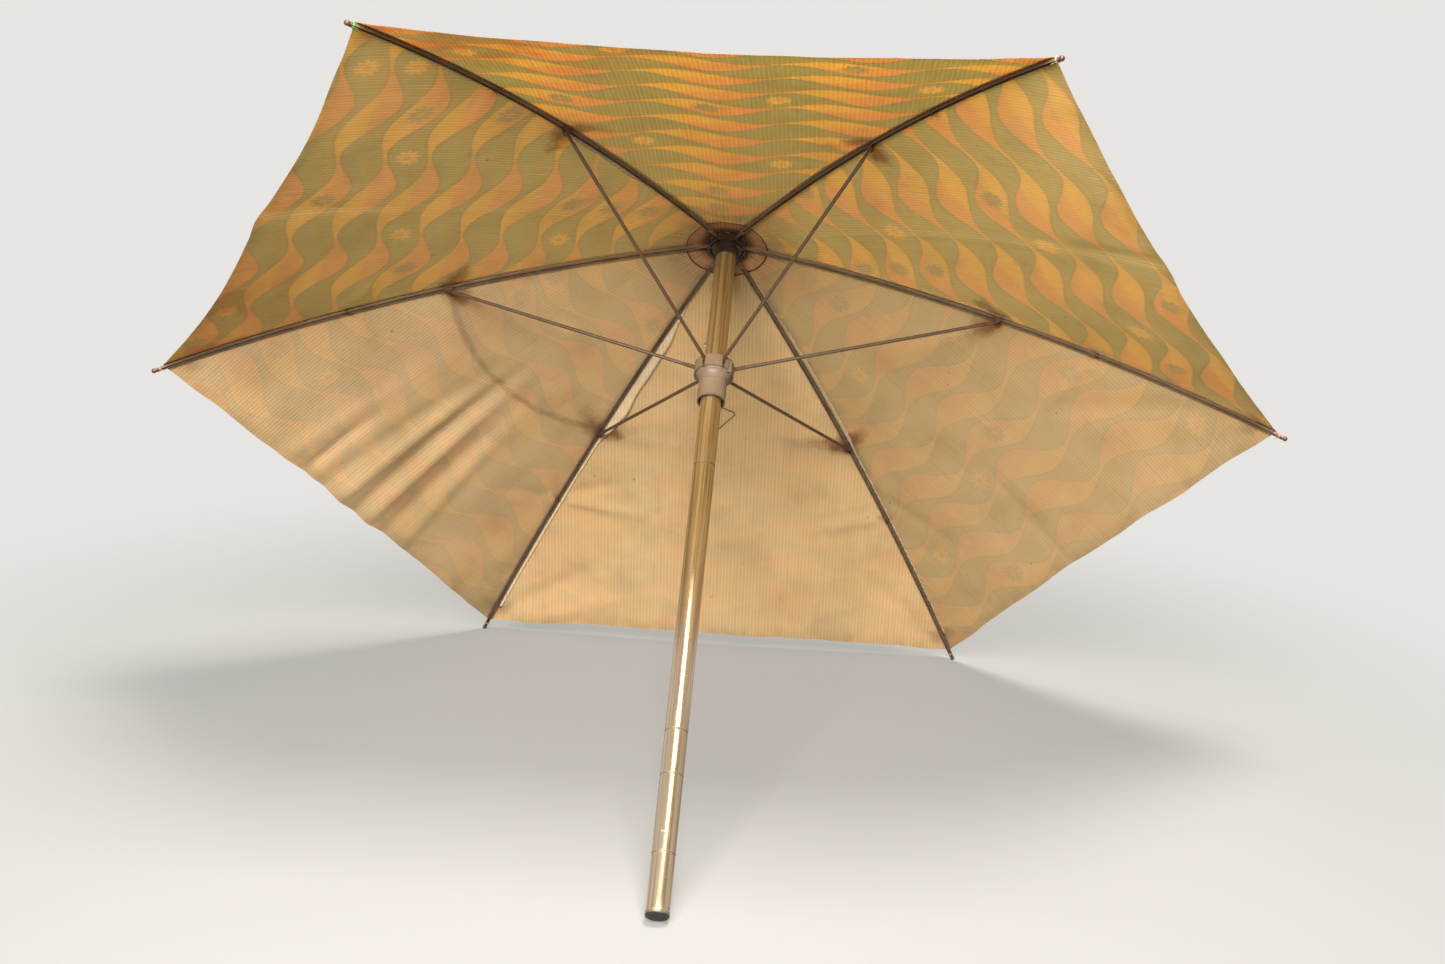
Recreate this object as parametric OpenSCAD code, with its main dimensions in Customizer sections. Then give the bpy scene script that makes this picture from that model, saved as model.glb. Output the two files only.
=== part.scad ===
// Parasol with six bowed ribs on a two-piece pole, standing open.
// Millimetres. +Z runs up the pole, the origin is on its axis at the foot end of the tube,
// and rib 1 points along +X.

/* [Pole] */
// Outside diameter of both tubes
pole_d = 30; // [26:0.5:34]
// Wall of both tubes
pole_wall = 1; // [0.8:0.1:1.4]
// Height of the rib pivots above the foot
hub_h = 1046; // [1000:2:1120]
// Height of the seam, where the upper tube starts
seam_h = 181; // [150:1:200]
// Length of the lower tube's neck inside the upper tube
neck_len = 80; // [74:1:100]
// Height of the crimp above the seam
crimp_up = 61; // [40:1:66]
// Height of the rolled groove near the foot
foot_groove_h = 77; // [60:1:110]
// Width of each rolled groove
groove_w = 2.4; // [1.6:0.2:4]
// Depth of each rolled groove
groove_deep = 0.35; // [0.2:0.05:0.5]

/* [Foot plug] */
// Length of the plug inside the tube
plug_len = 24; // [16:1:40]
// Height of its domed end below the tube
plug_dome = 4; // [2:0.5:6]
// Diameter of the snap peg through the tube
peg_d = 3; // [2:0.2:4]
// Height of the peg above the foot
peg_h = 7; // [5:0.5:12]
// Direction of the peg round the pole
peg_az = -25; // [-60:5:20]

/* [Crown] */
// Distance of the rib and strut pivots from the pole's surface
pivot_out = 9; // [8.5:0.5:11]
// Rim of the crown outside the pivots
crown_rim = 4.5; // [4.2:0.1:6]
// Height of the crown above the pivots
crown_above = 5; // [4.6:0.2:7]
// Height of the crown below the pivots
crown_below = 7; // [5:0.5:9]
// Length of the collar round the pole, under the crown
collar_len = 15; // [10:1:24]
// Wall of the collar
collar_wall = 2.6; // [2:0.1:3.2]
// Depth of the scallops between the ribs
scallop = 2.2; // [1:0.1:3]
// Diameter of the ring wires that carry the eyes
ring_d = 2.6; // [2:0.1:3]
// Diameter of the stud that holds the cap
stud_d = 10; // [8:0.5:14]

/* [Cap] */
// Diameter of the cap on top of the cloth
cap_d = 46; // [40:1:60]
// Height of the cap's dome
cap_h = 9; // [7:0.5:14]
// Height of the knob on the cap
knob_h = 24; // [16:1:36]
// Diameter of the knob
knob_d = 14; // [12:0.5:20]

/* [Ribs] */
// Radius of the rib tips
canopy_r = 800; // [740:5:860]
// Drop from the rib pivots to the tips
rib_drop = 290; // [240:5:330]
// Height of the rib's bow above its chord
rib_bow = 31; // [20:1:42]
// Width of the rib channel
rib_w = 5.2; // [4.6:0.2:6.4]
// Height of the rib channel
rib_h = 4.2; // [3.6:0.2:5.4]
// Sheet thickness of the rib channel
rib_t = 0.6; // [0.5:0.1:0.9]
// Thickness of the flattened ends of ribs and struts
blade_t = 2; // [1.6:0.1:2.4]
// Outside diameter of the eyes
eye_d = 7; // [6:0.2:7.6]
// Length of a flattened end, from the middle of its eye
blade_len = 15; // [14:0.5:20]
// Length over which a flattened end widens to the full section
pinch_len = 8; // [5:0.5:14]
// Diameter of the ball on each tip
ball_d = 7; // [6:0.2:9]
// Length of the tip's shank inside the channel
shank_len = 9; // [6:0.5:14]
// Bare length of the rib between the cloth's corner and the middle of the ball
tip_out = 11; // [9:1:30]
// Radius where a tie holds the cloth to the rib
tie_r = 544; // [480:4:640]
// Thickness of the tie's wrapping
tie_t = 0.5; // [0.4:0.1:0.6]

/* [Struts] */
// Diameter of a strut
strut_d = 5; // [4:0.2:6]
// Radius where the struts meet the ribs
joint_r = 402; // [370:2:430]
// Distance of the joint's pin below the middle of the rib
joint_below = 6; // [5.4:0.2:8]
// Diameter of the joint's pin
pin_d = 2.6; // [2:0.1:3]
// Length of the bracket along the rib
bracket_len = 15; // [10:0.5:22]
// Sheet thickness of the bracket
bracket_t = 0.6; // [0.5:0.05:0.7]

/* [Runner] */
// Rim of the runner's flange outside the pivots
flange_rim = 4.5; // [4.2:0.1:6]
// Height of the flange above the pivots
flange_above = 6; // [5:0.5:8]
// Height of the flange below the pivots
flange_below = 13; // [11:0.5:18]
// Depth of the slits below the pivots
slit_below = 4.6; // [4.2:0.2:5.4]
// Space between the pole and the inside of the sleeve
sleeve_room = 3.2; // [2.4:0.1:3.6]
// Wall of the sleeve and of the flange's skirt
sleeve_wall = 1.8; // [1.2:0.1:2]
// Length of the sleeve below the flange
sleeve_len = 46; // [36:1:60]
// Diameter of the boss on the flange
boss_d = 9.6; // [9:0.2:11]
// Drop of the boss below the flange
boss_drop = 2.5; // [1:0.5:5]
// Diameter of the hole up into the boss
boss_hole = 4.6; // [3:0.2:5.4]
// Direction of the boss round the pole
boss_az = -30; // [-36:1:-24]

/* [Catch and stop] */
// Diameter of the catch's spring wire
catch_d = 1.8; // [1.4:0.1:2.2]
// Distance of the catch's nose from the pole's axis
catch_r = 40; // [36:0.5:44]
// Lean of the catch's slope away from the pole, in degrees
catch_lean = 34; // [28:1:40]
// Direction of the catch round the pole
catch_az = 30; // [20:1:40]
// Height of the catch's fixed end below its slot
catch_tail = 69; // [50:1:90]
// Distance of the catch's tail from the pole's axis
tail_r = 9; // [6:0.5:10]
// Length of the slot above the catch's top, for the rise of its nose as it is pressed in
slot_over = 5; // [4.5:0.5:8]
// Length of the cross bar at the end of the tail
tail_bar = 8; // [6:0.5:10]
// Turn of the catch when it is pressed into the pole, in degrees
catch_press = 10.8; // [9:0.2:11.6]
// Length of the plug that holds the tail inside the tube
anchor_len = 14; // [10:1:24]
// Height of the stop loop above the runner's pivots
stop_up = 36; // [26:1:60]
// Height of the stop loop
stop_h = 10; // [7:0.5:14]
// Reach of the stop loop from the pole's surface
stop_out = 5.4; // [4:0.2:8]
// Diameter of the stop loop's wire
stop_d = 1.6; // [1.2:0.1:2]
// Direction of the stop loop round the pole
stop_az = 210; // [200:1:220]

/* [Canopy] */
// Thickness of the cloth as a solid
cloth_t = 1; // [0.6:0.1:2]
// Space between the back of the ribs and the cloth
cloth_gap = 1.9; // [1.8:0.05:2.6]
// Inward curve of each edge at its middle
edge_scoop = 14; // [0:1:60]
// Sag of each gore at the middle of its edge
gore_sag = 16; // [0:1:40]
// Radius of the round piece at the middle of the cloth
centre_r = 34; // [30:1:44]
// Thickness of the round piece at the middle
centre_t = 1; // [0.6:0.1:2]

/* [Fits] */
// Radial clearance of a running fit
run_fit = 0.08; // [0.03:0.01:0.1]
// Clearance of pieces that seat in or on each other
seat_fit = 0.02; // [0.01:0.01:0.03]
// Side clearance of a moving blade in its slit
slit_fit = 0.35; // [0.3:0.05:0.5]
// Gap between neighbouring pieces of cloth
cloth_part = 0.6; // [0.4:0.1:1]

/* [Hidden] */
$fn = 48;
n_ribs = 6;
step_az = 360 / n_ribs;
pole_r = pole_d / 2;
bore_r = pole_r - pole_wall;
neck_r = bore_r - seat_fit;
pivot_r = pole_r + pivot_out;
slit_w = blade_t + 2 * slit_fit;
eye_hole = ring_d / 2 + run_fit;
groove_r = ring_d / 2 + seat_fit;

// The rib's centreline is an arc in the plane of its azimuth
chord = norm([canopy_r - pivot_r, rib_drop]);
arc_r = (chord * chord / 4 + rib_bow * rib_bow) / (2 * rib_bow);
arc_up = [rib_drop, canopy_r - pivot_r] / chord;
arc_mid = [(pivot_r + canopy_r) / 2, hub_h - rib_drop / 2];
arc_c = arc_mid - arc_up * (arc_r - rib_bow);
function arc_az(r) = acos((r - arc_c[0]) / arc_r);
function rib_z(r) = arc_c[1] + arc_r * sin(arc_az(r));
function rib_slope(r) = 90 - arc_az(r);
function along(r, len) = arc_az(r) - len / arc_r * 180 / PI;

// Equal arms: rib pivot to joint, and joint to runner pivot
joint_x = joint_r - joint_below * sin(rib_slope(joint_r));
joint_z = rib_z(joint_r) - joint_below * cos(rib_slope(joint_r));
runner_z = 2 * joint_z - hub_h;
arm = norm([joint_x - pivot_r, hub_h - joint_z]);
arm_az = atan2(joint_z - runner_z, joint_x - pivot_r);

crown_r = pivot_r + crown_rim;
crown_top = hub_h + crown_above;
stud_h = centre_t + cap_h - 2;
flange_r = pivot_r + flange_rim;
boss_at = flange_r + 1.4 - boss_d / 2;
flange_top = runner_z + flange_above;
flange_foot = runner_z - flange_below;
sleeve_in = pole_r + sleeve_room;
sleeve_r = sleeve_in + sleeve_wall;
sleeve_foot = flange_foot - sleeve_len;
corner_r = canopy_r - tip_out;

// The catch's wire: level top, nose bend, slope and knee, in the plane of its azimuth
nose_r = 3.2;
knee_r = 4;
lap = 0.15;
bend_thin = 0.04;
nose_z = sleeve_foot - slit_fit - catch_d / 2;
nose_c = [catch_r - catch_d / 2 - nose_r, nose_z - nose_r];
slope_top = nose_c + nose_r * [cos(catch_lean), -sin(catch_lean)];
slot_z = slope_top[1] - (slope_top[0] - pole_r) / tan(catch_lean);
knee = [tail_r, slope_top[1] - (slope_top[0] - tail_r) / tan(catch_lean)];
knee_cut = knee_r * tan(catch_lean / 2);
anchor_z = slot_z - catch_tail;
stop_z = runner_z + stop_up;

// Underside of the cloth over a rib, lifted near the middle to pass over the crown
cloth_in = centre_r + cloth_part;
crown_lift = crown_top + seat_fit - rib_z(cloth_in) - rib_h / 2 - cloth_gap;
function cloth_z(r) = rib_z(r) + rib_h / 2 + cloth_gap + crown_lift * exp(-(r - cloth_in) / 26);
// A gore's point: r along the rib, v from the rib (0) to the middle of the gore (1 or -1)
function bulge(v) = abs(v) * (2 - abs(v));
function plan_len(v) = norm([1 - abs(v) * (1 - cos(step_az)) / 2, v * sin(step_az) / 2]);
function gore_r(s, v) =
    let (inner = cloth_in / plan_len(v),
         outer = corner_r - edge_scoop / cos(step_az / 2) * bulge(v))
    inner + (outer - inner) * s;
function gore_pt(s, v, up) =
    let (r = gore_r(s, v), w = v * (1 - cloth_part / r))
    [r * (1 - abs(w) * (1 - cos(step_az)) / 2), r * w * sin(step_az) / 2,
     cloth_z(r) - gore_sag * pow(r / corner_r, 2) * bulge(v) + up];

// ---- placing helpers ----

module at_az(az) { rotate([0, 0, az]) children(); }

// A frame on the rib at radius r: X along the rib outwards, Z away from the arc's centre
module on_rib(r) { translate([r, 0, rib_z(r)]) rotate([0, rib_slope(r), 0]) children(); }

// A bar along Y, centred
module cross_bar(d, len) { rotate([90, 0, 0]) cylinder(d = d, h = len, center = true); }

// A rolled groove, as the ring that is taken off the tube
module rolled_groove(z) {
    translate([0, 0, z]) rotate_extrude($fn = 96)
        polygon([[pole_r + 1, -groove_w / 2 - 1], [pole_r + 1, groove_w / 2 + 1],
            [pole_r, groove_w / 2], [pole_r - groove_deep, groove_w / 5],
            [pole_r - groove_deep, -groove_w / 5], [pole_r, -groove_w / 2]]);
}

// A wire ring of the pivots' radius
module wire_ring(d) { rotate_extrude($fn = 96) translate([pivot_r, 0]) circle(d = d); }

// ---- pole ----

// Lower tube, swaged down to a neck that enters the upper tube
module pole_lower() {
    color([0.80, 0.78, 0.72]) difference() {
        rotate_extrude($fn = 96) polygon([
            [bore_r, 0], [pole_r, 0], [pole_r, seam_h - 0.4], [neck_r, seam_h + seat_fit],
            [neck_r, seam_h + neck_len], [neck_r - pole_wall, seam_h + neck_len],
            [neck_r - pole_wall, seam_h - 3], [bore_r, seam_h - 6]]);
        rolled_groove(foot_groove_h);
        at_az(peg_az) translate([pole_r, 0, peg_h]) rotate([0, 90, 0])
            cylinder(d = peg_d + 2 * seat_fit, h = 4 * pole_wall, center = true, $fn = 24);
    }
}

// Upper tube with its crimps, the catch's slot and the two holes of the stop loop
module pole_upper() {
    color([0.82, 0.80, 0.74]) difference() {
        translate([0, 0, seam_h + seat_fit]) difference() {
            cylinder(r = pole_r, h = hub_h + crown_above - 3 - seam_h - 2 * seat_fit, $fn = 96);
            translate([0, 0, -1]) cylinder(r = bore_r, h = hub_h, $fn = 96);
        }
        rolled_groove(seam_h + crimp_up);
        rolled_groove(anchor_z);
        at_az(catch_az) translate([bore_r - 3, -catch_d / 2 - slit_fit, knee[1] - knee_cut])
            cube([pole_wall + 6, catch_d + 2 * slit_fit,
                nose_z + catch_d / 2 + slot_over - knee[1] + knee_cut]);
        at_az(stop_az) for (s = [-1, 1])
            translate([pole_r, 0, stop_z + s * (stop_h - stop_d) / 2]) rotate([0, 90, 0])
                cylinder(d = stop_d + 2 * seat_fit, h = 4 * pole_wall, center = true, $fn = 24);
    }
}

// Plug in the foot of the pole, with a domed end and a snap peg
module foot_plug() {
    color([0.09, 0.09, 0.09]) union() {
        difference() {
            rotate_extrude($fn = 96) polygon(concat(
                [[0, plug_len], [bore_r - 1.2, plug_len], [bore_r - seat_fit, plug_len - 3],
                 [bore_r - seat_fit, 0], [pole_r, -seat_fit], [pole_r, -1]],
                [for (a = [10 : 20 : 90])
                    [pole_r * cos(a), -1 - (plug_dome - 1) * sin(a)]]));
            translate([0, 0, 6]) cylinder(r = bore_r - 3.4, h = plug_len);
        }
        at_az(peg_az) translate([bore_r - 2, 0, peg_h]) rotate([0, 90, 0]) {
            cylinder(d = peg_d, h = 2 + pole_wall - 0.1, $fn = 24);
        }
    }
}

// ---- crown, cap and middle of the cloth ----

// Notched crown: blind bore on the pole, a groove for the ring wire and a slit for each rib
module crown() {
    slot_in = pivot_r - eye_d / 2 - slit_fit;
    color([0.20, 0.13, 0.09]) difference() {
        union() {
            translate([0, 0, hub_h - crown_below])
                cylinder(r = crown_r, h = crown_below + crown_above, $fn = 96);
            translate([0, 0, hub_h - crown_below - collar_len])
                cylinder(r = pole_r + collar_wall, h = collar_len + 1, $fn = 96);
            translate([0, 0, crown_top - 1]) cylinder(d = stud_d, h = stud_h + 1);
        }
        translate([0, 0, hub_h - crown_below - collar_len - 1]) cylinder(r = pole_r + seat_fit,
            h = collar_len + 1 + crown_below + crown_above - 3, $fn = 96);
        // the groove opens downwards, so that the wire and its eyes go in from below
        translate([0, 0, hub_h]) wire_ring(2 * groove_r);
        translate([0, 0, hub_h - crown_below - 1]) difference() {
            cylinder(r = pivot_r + groove_r, h = crown_below + 1, $fn = 96);
            translate([0, 0, -1]) cylinder(r = pivot_r - groove_r, h = crown_below + 3, $fn = 96);
        }
        for (i = [0 : n_ribs - 1]) at_az(i * step_az) {
            translate([slot_in, -slit_w / 2, hub_h - crown_below - 1])
                cube([crown_r, slit_w, crown_below + 1 + eye_d / 2 + slit_fit]);
            at_az(step_az / 2) translate([crown_r + 9 - scallop, 0, hub_h - crown_below - 1])
                cylinder(r = 9, h = crown_below + crown_above + 2);
        }
    }
}

// Ring wire that the eyes of the ribs turn on
module crown_ring() { color([0.30, 0.20, 0.13]) translate([0, 0, hub_h]) wire_ring(ring_d); }

// Moulded cap that clamps the cloth on the crown's stud
module top_cap() {
    z0 = crown_top + seat_fit + centre_t + seat_fit;
    color([0.72, 0.66, 0.56]) difference() {
        translate([0, 0, z0]) rotate_extrude($fn = 72) polygon(concat(
            [[stud_d / 2 + seat_fit, 0], [cap_d / 2 - 1, 0]],
            [for (a = [0 : 15 : 75]) [knob_d / 2 + (cap_d / 2 - knob_d / 2) * cos(a),
                1 + (cap_h - 1) * sin(a)]],
            [[knob_d / 2 - 1, cap_h], [stud_d / 2 + seat_fit, cap_h]]));
        // hollow under the dome
        translate([0, 0, z0 - 1]) difference() {
            cylinder(r = cap_d / 2 - 4, h = 3.5);
            translate([0, 0, -1]) cylinder(d = stud_d + 5, h = 6);
        }
    }
}

// Rounded knob screwed onto the stud above the cap
module knob() {
    z0 = crown_top + 2 * seat_fit + centre_t + cap_h + seat_fit;
    color([0.72, 0.66, 0.56]) translate([0, 0, z0]) rotate_extrude($fn = 48) polygon(concat(
        [[0, 0], [knob_d / 2 - 0.6, 0], [knob_d / 2, 0.8], [knob_d / 2, 3],
         [knob_d / 2 - 2, 5.5], [knob_d / 2 - 2.6, knob_h - knob_d / 2 - 1]],
        [for (a = [0 : 15 : 90]) [(knob_d / 2 - 2.6) * cos(a),
            knob_h - knob_d / 2 + (knob_d / 2 - 2) * sin(a)]]));
}

// Round piece of cloth between the crown and the cap
module canopy_centre() {
    color([0.80, 0.62, 0.38]) translate([0, 0, crown_top + seat_fit]) difference() {
        cylinder(r = centre_r, h = centre_t, $fn = 96);
        translate([0, 0, -1]) cylinder(d = stud_d + 2 * seat_fit, h = centre_t + 2);
    }
}

// ---- ribs ----

// Section of the channel: X away from the arc's centre, Y across, open on the inside
module rib_section() {
    h = rib_h / 2;
    w = rib_w / 2;
    translate([arc_r, 0]) polygon([[-h, -w], [h - 0.6, -w], [h, -w + 0.6], [h, w - 0.6],
        [h - 0.6, w], [-h, w], [-h, w - rib_t], [h - rib_t, w - rib_t],
        [h - rib_t, -w + rib_t], [-h, -w + rib_t]]);
}

// A flattened end along X from its eye: blade, then a pinch up to the full width
module flat_end(width, height) {
    b = blade_t / 2;
    w = width / 2;
    translate([0, 0, -height / 2]) linear_extrude(height) polygon([[0, -b], [blade_len, -b],
        [blade_len + pinch_len, -w], [blade_len + pinch_len + 2, -w],
        [blade_len + pinch_len + 2, w], [blade_len + pinch_len, w], [blade_len, b], [0, b]]);
    cross_bar(eye_d, blade_t);
}

// Bowed channel with a flattened eye at the crown
module rib() {
    from = along(pivot_r, blade_len + pinch_len);
    to = along(canopy_r, -ball_d / 2);
    color([0.23, 0.15, 0.10]) difference() {
        union() {
            translate([arc_c[0], 0, arc_c[1]]) rotate([90, 0, 0]) rotate([0, 0, to])
                rotate_extrude(angle = from - to, $fn = 360) rib_section();
            on_rib(pivot_r) flat_end(rib_w, rib_h);
        }
        on_rib(pivot_r) cross_bar(2 * eye_hole, rib_w + 2);
    }
}

// Folded saddle on the rib, with two ears for the strut's pin
module rib_bracket() {
    w = rib_w / 2 + seat_fit;
    top = rib_h / 2 + seat_fit;
    color([0.20, 0.13, 0.09]) on_rib(joint_r) difference() {
        union() {
            translate([-bracket_len / 2, -w - bracket_t, top])
                cube([bracket_len, 2 * (w + bracket_t), bracket_t]);
            for (s = [0, 1]) mirror([0, s, 0]) translate([0, w + bracket_t, 0])
                rotate([90, 0, 0]) linear_extrude(bracket_t) union() {
                    polygon([[-bracket_len / 2, top + bracket_t],
                        [bracket_len / 2, top + bracket_t], [bracket_len / 2, -rib_h / 2],
                        [3.2, -joint_below - 2.6], [-3.2, -joint_below - 2.6],
                        [-bracket_len / 2, -rib_h / 2]]);
                    translate([0, -joint_below]) circle(d = eye_d + 1);
                }
        }
        translate([0, 0, -joint_below]) cross_bar(pin_d + 2 * seat_fit, rib_w + 8);
    }
}

// Riveted pin through the ears and the strut's eye
module rib_pin() {
    w = rib_w / 2 + 2 * seat_fit + bracket_t;
    color([0.30, 0.21, 0.15]) on_rib(joint_r) translate([0, 0, -joint_below]) union() {
        cross_bar(pin_d, 2 * w + 1.6);
        for (s = [-1, 1]) translate([0, s * (w + 0.5), 0]) cross_bar(pin_d + 2, 1);
    }
}

// Ball tip on a shank that closes the end of the channel
module rib_tip() {
    w = rib_w - 2 * rib_t - 2 * seat_fit;
    color([0.24, 0.14, 0.10]) on_rib(canopy_r) union() {
        sphere(d = ball_d, $fn = 32);
        translate([-ball_d / 2 - shank_len, -w / 2, -rib_h / 2])
            cube([ball_d / 2 + shank_len, w, rib_h - rib_t - 2 * seat_fit]);
        translate([-ball_d / 2, 0, 0]) rotate([0, 90, 0]) cylinder(d = ball_d - 1.6, h = 2);
    }
}

// Thread wrapped round the rib, with its knot on the open side of the channel
module rib_tie() {
    color([0.86, 0.76, 0.58]) on_rib(tie_r) union() {
        difference() {
            cube([2.4, rib_w + 2 * (tie_t + seat_fit), rib_h + 2 * (tie_t + seat_fit)],
                center = true);
            cube([4, rib_w + 2 * seat_fit, rib_h + 2 * seat_fit], center = true);
        }
        translate([0, 0, -rib_h / 2 - tie_t - 0.9]) sphere(d = 2.8, $fn = 24);
    }
}

// ---- struts ----

// A strut's end along X from its eye: blade, then a pinch that opens out to the round rod
module strut_end() {
    b = blade_t / 2;
    w = strut_d * 0.6;
    tall = strut_d * 0.62;
    full = blade_len + pinch_len;
    intersection() {
        translate([0, 0, -strut_d]) linear_extrude(2 * strut_d) polygon([[0, -b],
            [blade_len, -b], [full, -w], [full + 5, -w], [full + 5, w], [full, w],
            [blade_len, b], [0, b]]);
        rotate([0, 90, 0]) rotate_extrude($fn = 48) polygon([[0, -1], [tall, -1],
            [tall, blade_len], [strut_d * 0.42, full + 4], [0, full + 4]]);
    }
    cross_bar(eye_d, blade_t);
}

// Round strut with a flattened eye at each end, drawn along X from the runner's pivot
module strut() {
    from = blade_len + 0.8 * pinch_len;
    color([0.27, 0.19, 0.12]) translate([pivot_r, 0, runner_z]) rotate([0, -arm_az, 0])
        difference() {
            union() {
                translate([from, 0, 0]) rotate([0, 90, 0])
                    cylinder(d = strut_d, h = arm - 2 * from, $fn = 48);
                strut_end();
                translate([arm, 0, 0]) rotate([0, 0, 180]) strut_end();
            }
            cross_bar(2 * eye_hole, strut_d + 4);
            translate([arm, 0, 0]) cross_bar(pin_d + 2 * run_fit, strut_d + 4);
        }
}

// ---- runner ----

// Moulded runner: slit flange, guide bore on the pole and a wide sleeve below
module runner() {
    slot_in = pivot_r - eye_d / 2 - slit_fit;
    color([0.78, 0.74, 0.67]) difference() {
        union() {
            translate([0, 0, flange_foot]) cylinder(r = flange_r, h = flange_below + flange_above,
                $fn = 96);
            translate([0, 0, sleeve_foot]) cylinder(r = sleeve_r, h = sleeve_len + 1, $fn = 96);
            at_az(boss_az) translate([boss_at, 0, flange_foot - boss_drop])
                cylinder(d = boss_d, h = boss_drop + flange_below + flange_above - 4);
        }
        translate([0, 0, sleeve_foot - 1]) cylinder(r = pole_r + run_fit,
            h = sleeve_len + flange_below + flange_above + 2, $fn = 96);
        translate([0, 0, sleeve_foot - 1]) cylinder(r = sleeve_in, h = sleeve_len + 1, $fn = 96);
        // the groove opens upwards, and the ring wire is laid in from above
        translate([0, 0, runner_z]) wire_ring(2 * groove_r);
        translate([0, 0, runner_z]) difference() {
            cylinder(r = pivot_r + groove_r, h = flange_above + 1, $fn = 96);
            translate([0, 0, -1]) cylinder(r = pivot_r - groove_r, h = flange_above + 3, $fn = 96);
        }
        for (i = [0 : n_ribs - 1]) at_az(i * step_az)
            translate([slot_in, -slit_w / 2, runner_z - slit_below])
                cube([flange_r, slit_w, slit_below + flange_above + 1]);
        // the skirt is hollow below the slits, apart from the boss
        difference() {
            translate([0, 0, flange_foot - 1]) difference() {
                cylinder(r = flange_r - sleeve_wall,
                    h = flange_below - slit_below - 1, $fn = 96);
                translate([0, 0, -1]) cylinder(r = sleeve_r, h = flange_below + 2, $fn = 96);
            }
            at_az(boss_az) translate([boss_at, 0, flange_foot - boss_drop - 1])
                cylinder(d = boss_d, h = boss_drop + flange_below);
        }
        at_az(boss_az) translate([boss_at, 0, flange_foot - boss_drop - 1])
            cylinder(d = boss_hole, h = boss_drop + flange_below - slit_below, $fn = 24);
    }
}

// Ring wire that the eyes of the struts turn on
module runner_ring() { color([0.35, 0.25, 0.17]) translate([0, 0, runner_z]) wire_ring(ring_d); }

// ---- catch and stop ----

// A straight stretch of the catch's wire in the plane of its azimuth, lapping its neighbours
module wire_leg(a, b) {
    d = b - a;
    translate([a[0], 0, a[1]]) rotate([0, atan2(d[0], d[1]), 0]) translate([0, 0, -lap])
        cylinder(d = catch_d, h = norm(d) + 2 * lap, $fn = 24);
}

// A bend of the catch's wire about c, drawn a hair thinner, turning from one angle through another
module wire_bend(c, r, from, turn) {
    translate([c[0], 0, c[1]]) rotate([90, 0, 0]) rotate([0, 0, from])
        rotate_extrude(angle = turn, $fn = 48) translate([r, 0])
            circle(d = catch_d - bend_thin, $fn = 24);
}

// Spring wire: tail on a cross bar inside the tube, slope out through the slot, round nose
// and a level top
module catch_wire() {
    color([0.33, 0.20, 0.13]) at_az(catch_az) union() {
        translate([tail_r, 0, anchor_z]) cross_bar(catch_d + 0.4, tail_bar);
        wire_leg([tail_r, anchor_z], [tail_r, knee[1] - knee_cut]);
        wire_bend([tail_r + knee_r, knee[1] - knee_cut], knee_r, 180 - catch_lean, catch_lean);
        wire_leg(knee + knee_cut * [sin(catch_lean), cos(catch_lean)], slope_top);
        wire_bend(nose_c, nose_r, -catch_lean, 90 + catch_lean);
        wire_leg([nose_c[0], nose_z], [bore_r - 2, nose_z]);
    }
}

// Plug crimped inside the tube: a bore for the catch's cross bar, and a slit it swings in
module catch_anchor() {
    reach = anchor_len / 2 * tan(catch_press) + catch_d / 2 + slit_fit;
    color([0.25, 0.25, 0.25]) difference() {
        translate([0, 0, anchor_z - anchor_len / 2])
            cylinder(r = bore_r - seat_fit, h = anchor_len, $fn = 96);
        at_az(catch_az) translate([tail_r, 0, anchor_z]) {
            cross_bar(catch_d + 0.4 + 2 * run_fit, tail_bar + 2 * slit_fit);
            translate([-reach - 0.4, -catch_d / 2 - slit_fit, -catch_d / 2 - slit_fit])
                cube([reach + 0.4 + catch_d / 2 + slit_fit, catch_d + 2 * slit_fit, anchor_len]);
        }
    }
}

// Wire loop through the tube that stops the runner on its way up
module stop_loop() {
    r = (stop_h - stop_d) / 2;
    reach = stop_out - stop_d / 2 - r;
    color([0.62, 0.58, 0.52]) at_az(stop_az) translate([pole_r, 0, stop_z]) union() {
        for (s = [-1, 1]) translate([-pole_wall - 1.6, 0, s * r]) rotate([0, 90, 0])
            cylinder(d = stop_d, h = pole_wall + 1.6 + max(reach, 0) + 0.01, $fn = 24);
        translate([max(reach, 0), 0, 0]) rotate([90, 0, 0]) rotate([0, 0, -90])
            rotate_extrude(angle = 180, $fn = 48) translate([r, 0])
                circle(d = stop_d, $fn = 24);
    }
}

// ---- canopy ----

// A sector of cloth centred on its rib, out to the middles of the gores on both sides
module canopy_sector() {
    ns = 12;
    nv = 10;
    row = nv + 1;
    layer = (ns + 1) * row;
    pts = [for (up = [0, cloth_t]) for (i = [0 : ns]) for (j = [0 : nv])
        gore_pt(i / ns, 2 * j / nv - 1, up)];
    rim = concat([for (j = [0 : nv]) j], [for (i = [1 : ns]) i * row + nv],
        [for (j = [1 : nv]) ns * row + nv - j], [for (i = [1 : ns - 1]) (ns - i) * row]);
    n_rim = len(rim);
    under = [for (i = [0 : ns - 1]) for (j = [0 : nv - 1]) let (a = i * row + j)
        each [[a, a + row, a + row + 1], [a, a + row + 1, a + 1]]];
    over = [for (t = under) [t[0] + layer, t[2] + layer, t[1] + layer]];
    side = [for (k = [0 : n_rim - 1]) let (a = rim[k], b = rim[(k + 1) % n_rim])
        each [[a, b, b + layer], [a, b + layer, a + layer]]];
    color([0.82, 0.66, 0.42]) polyhedron(points = pts, faces = concat(under, over, side));
}

// ---- nodes ----

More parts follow.
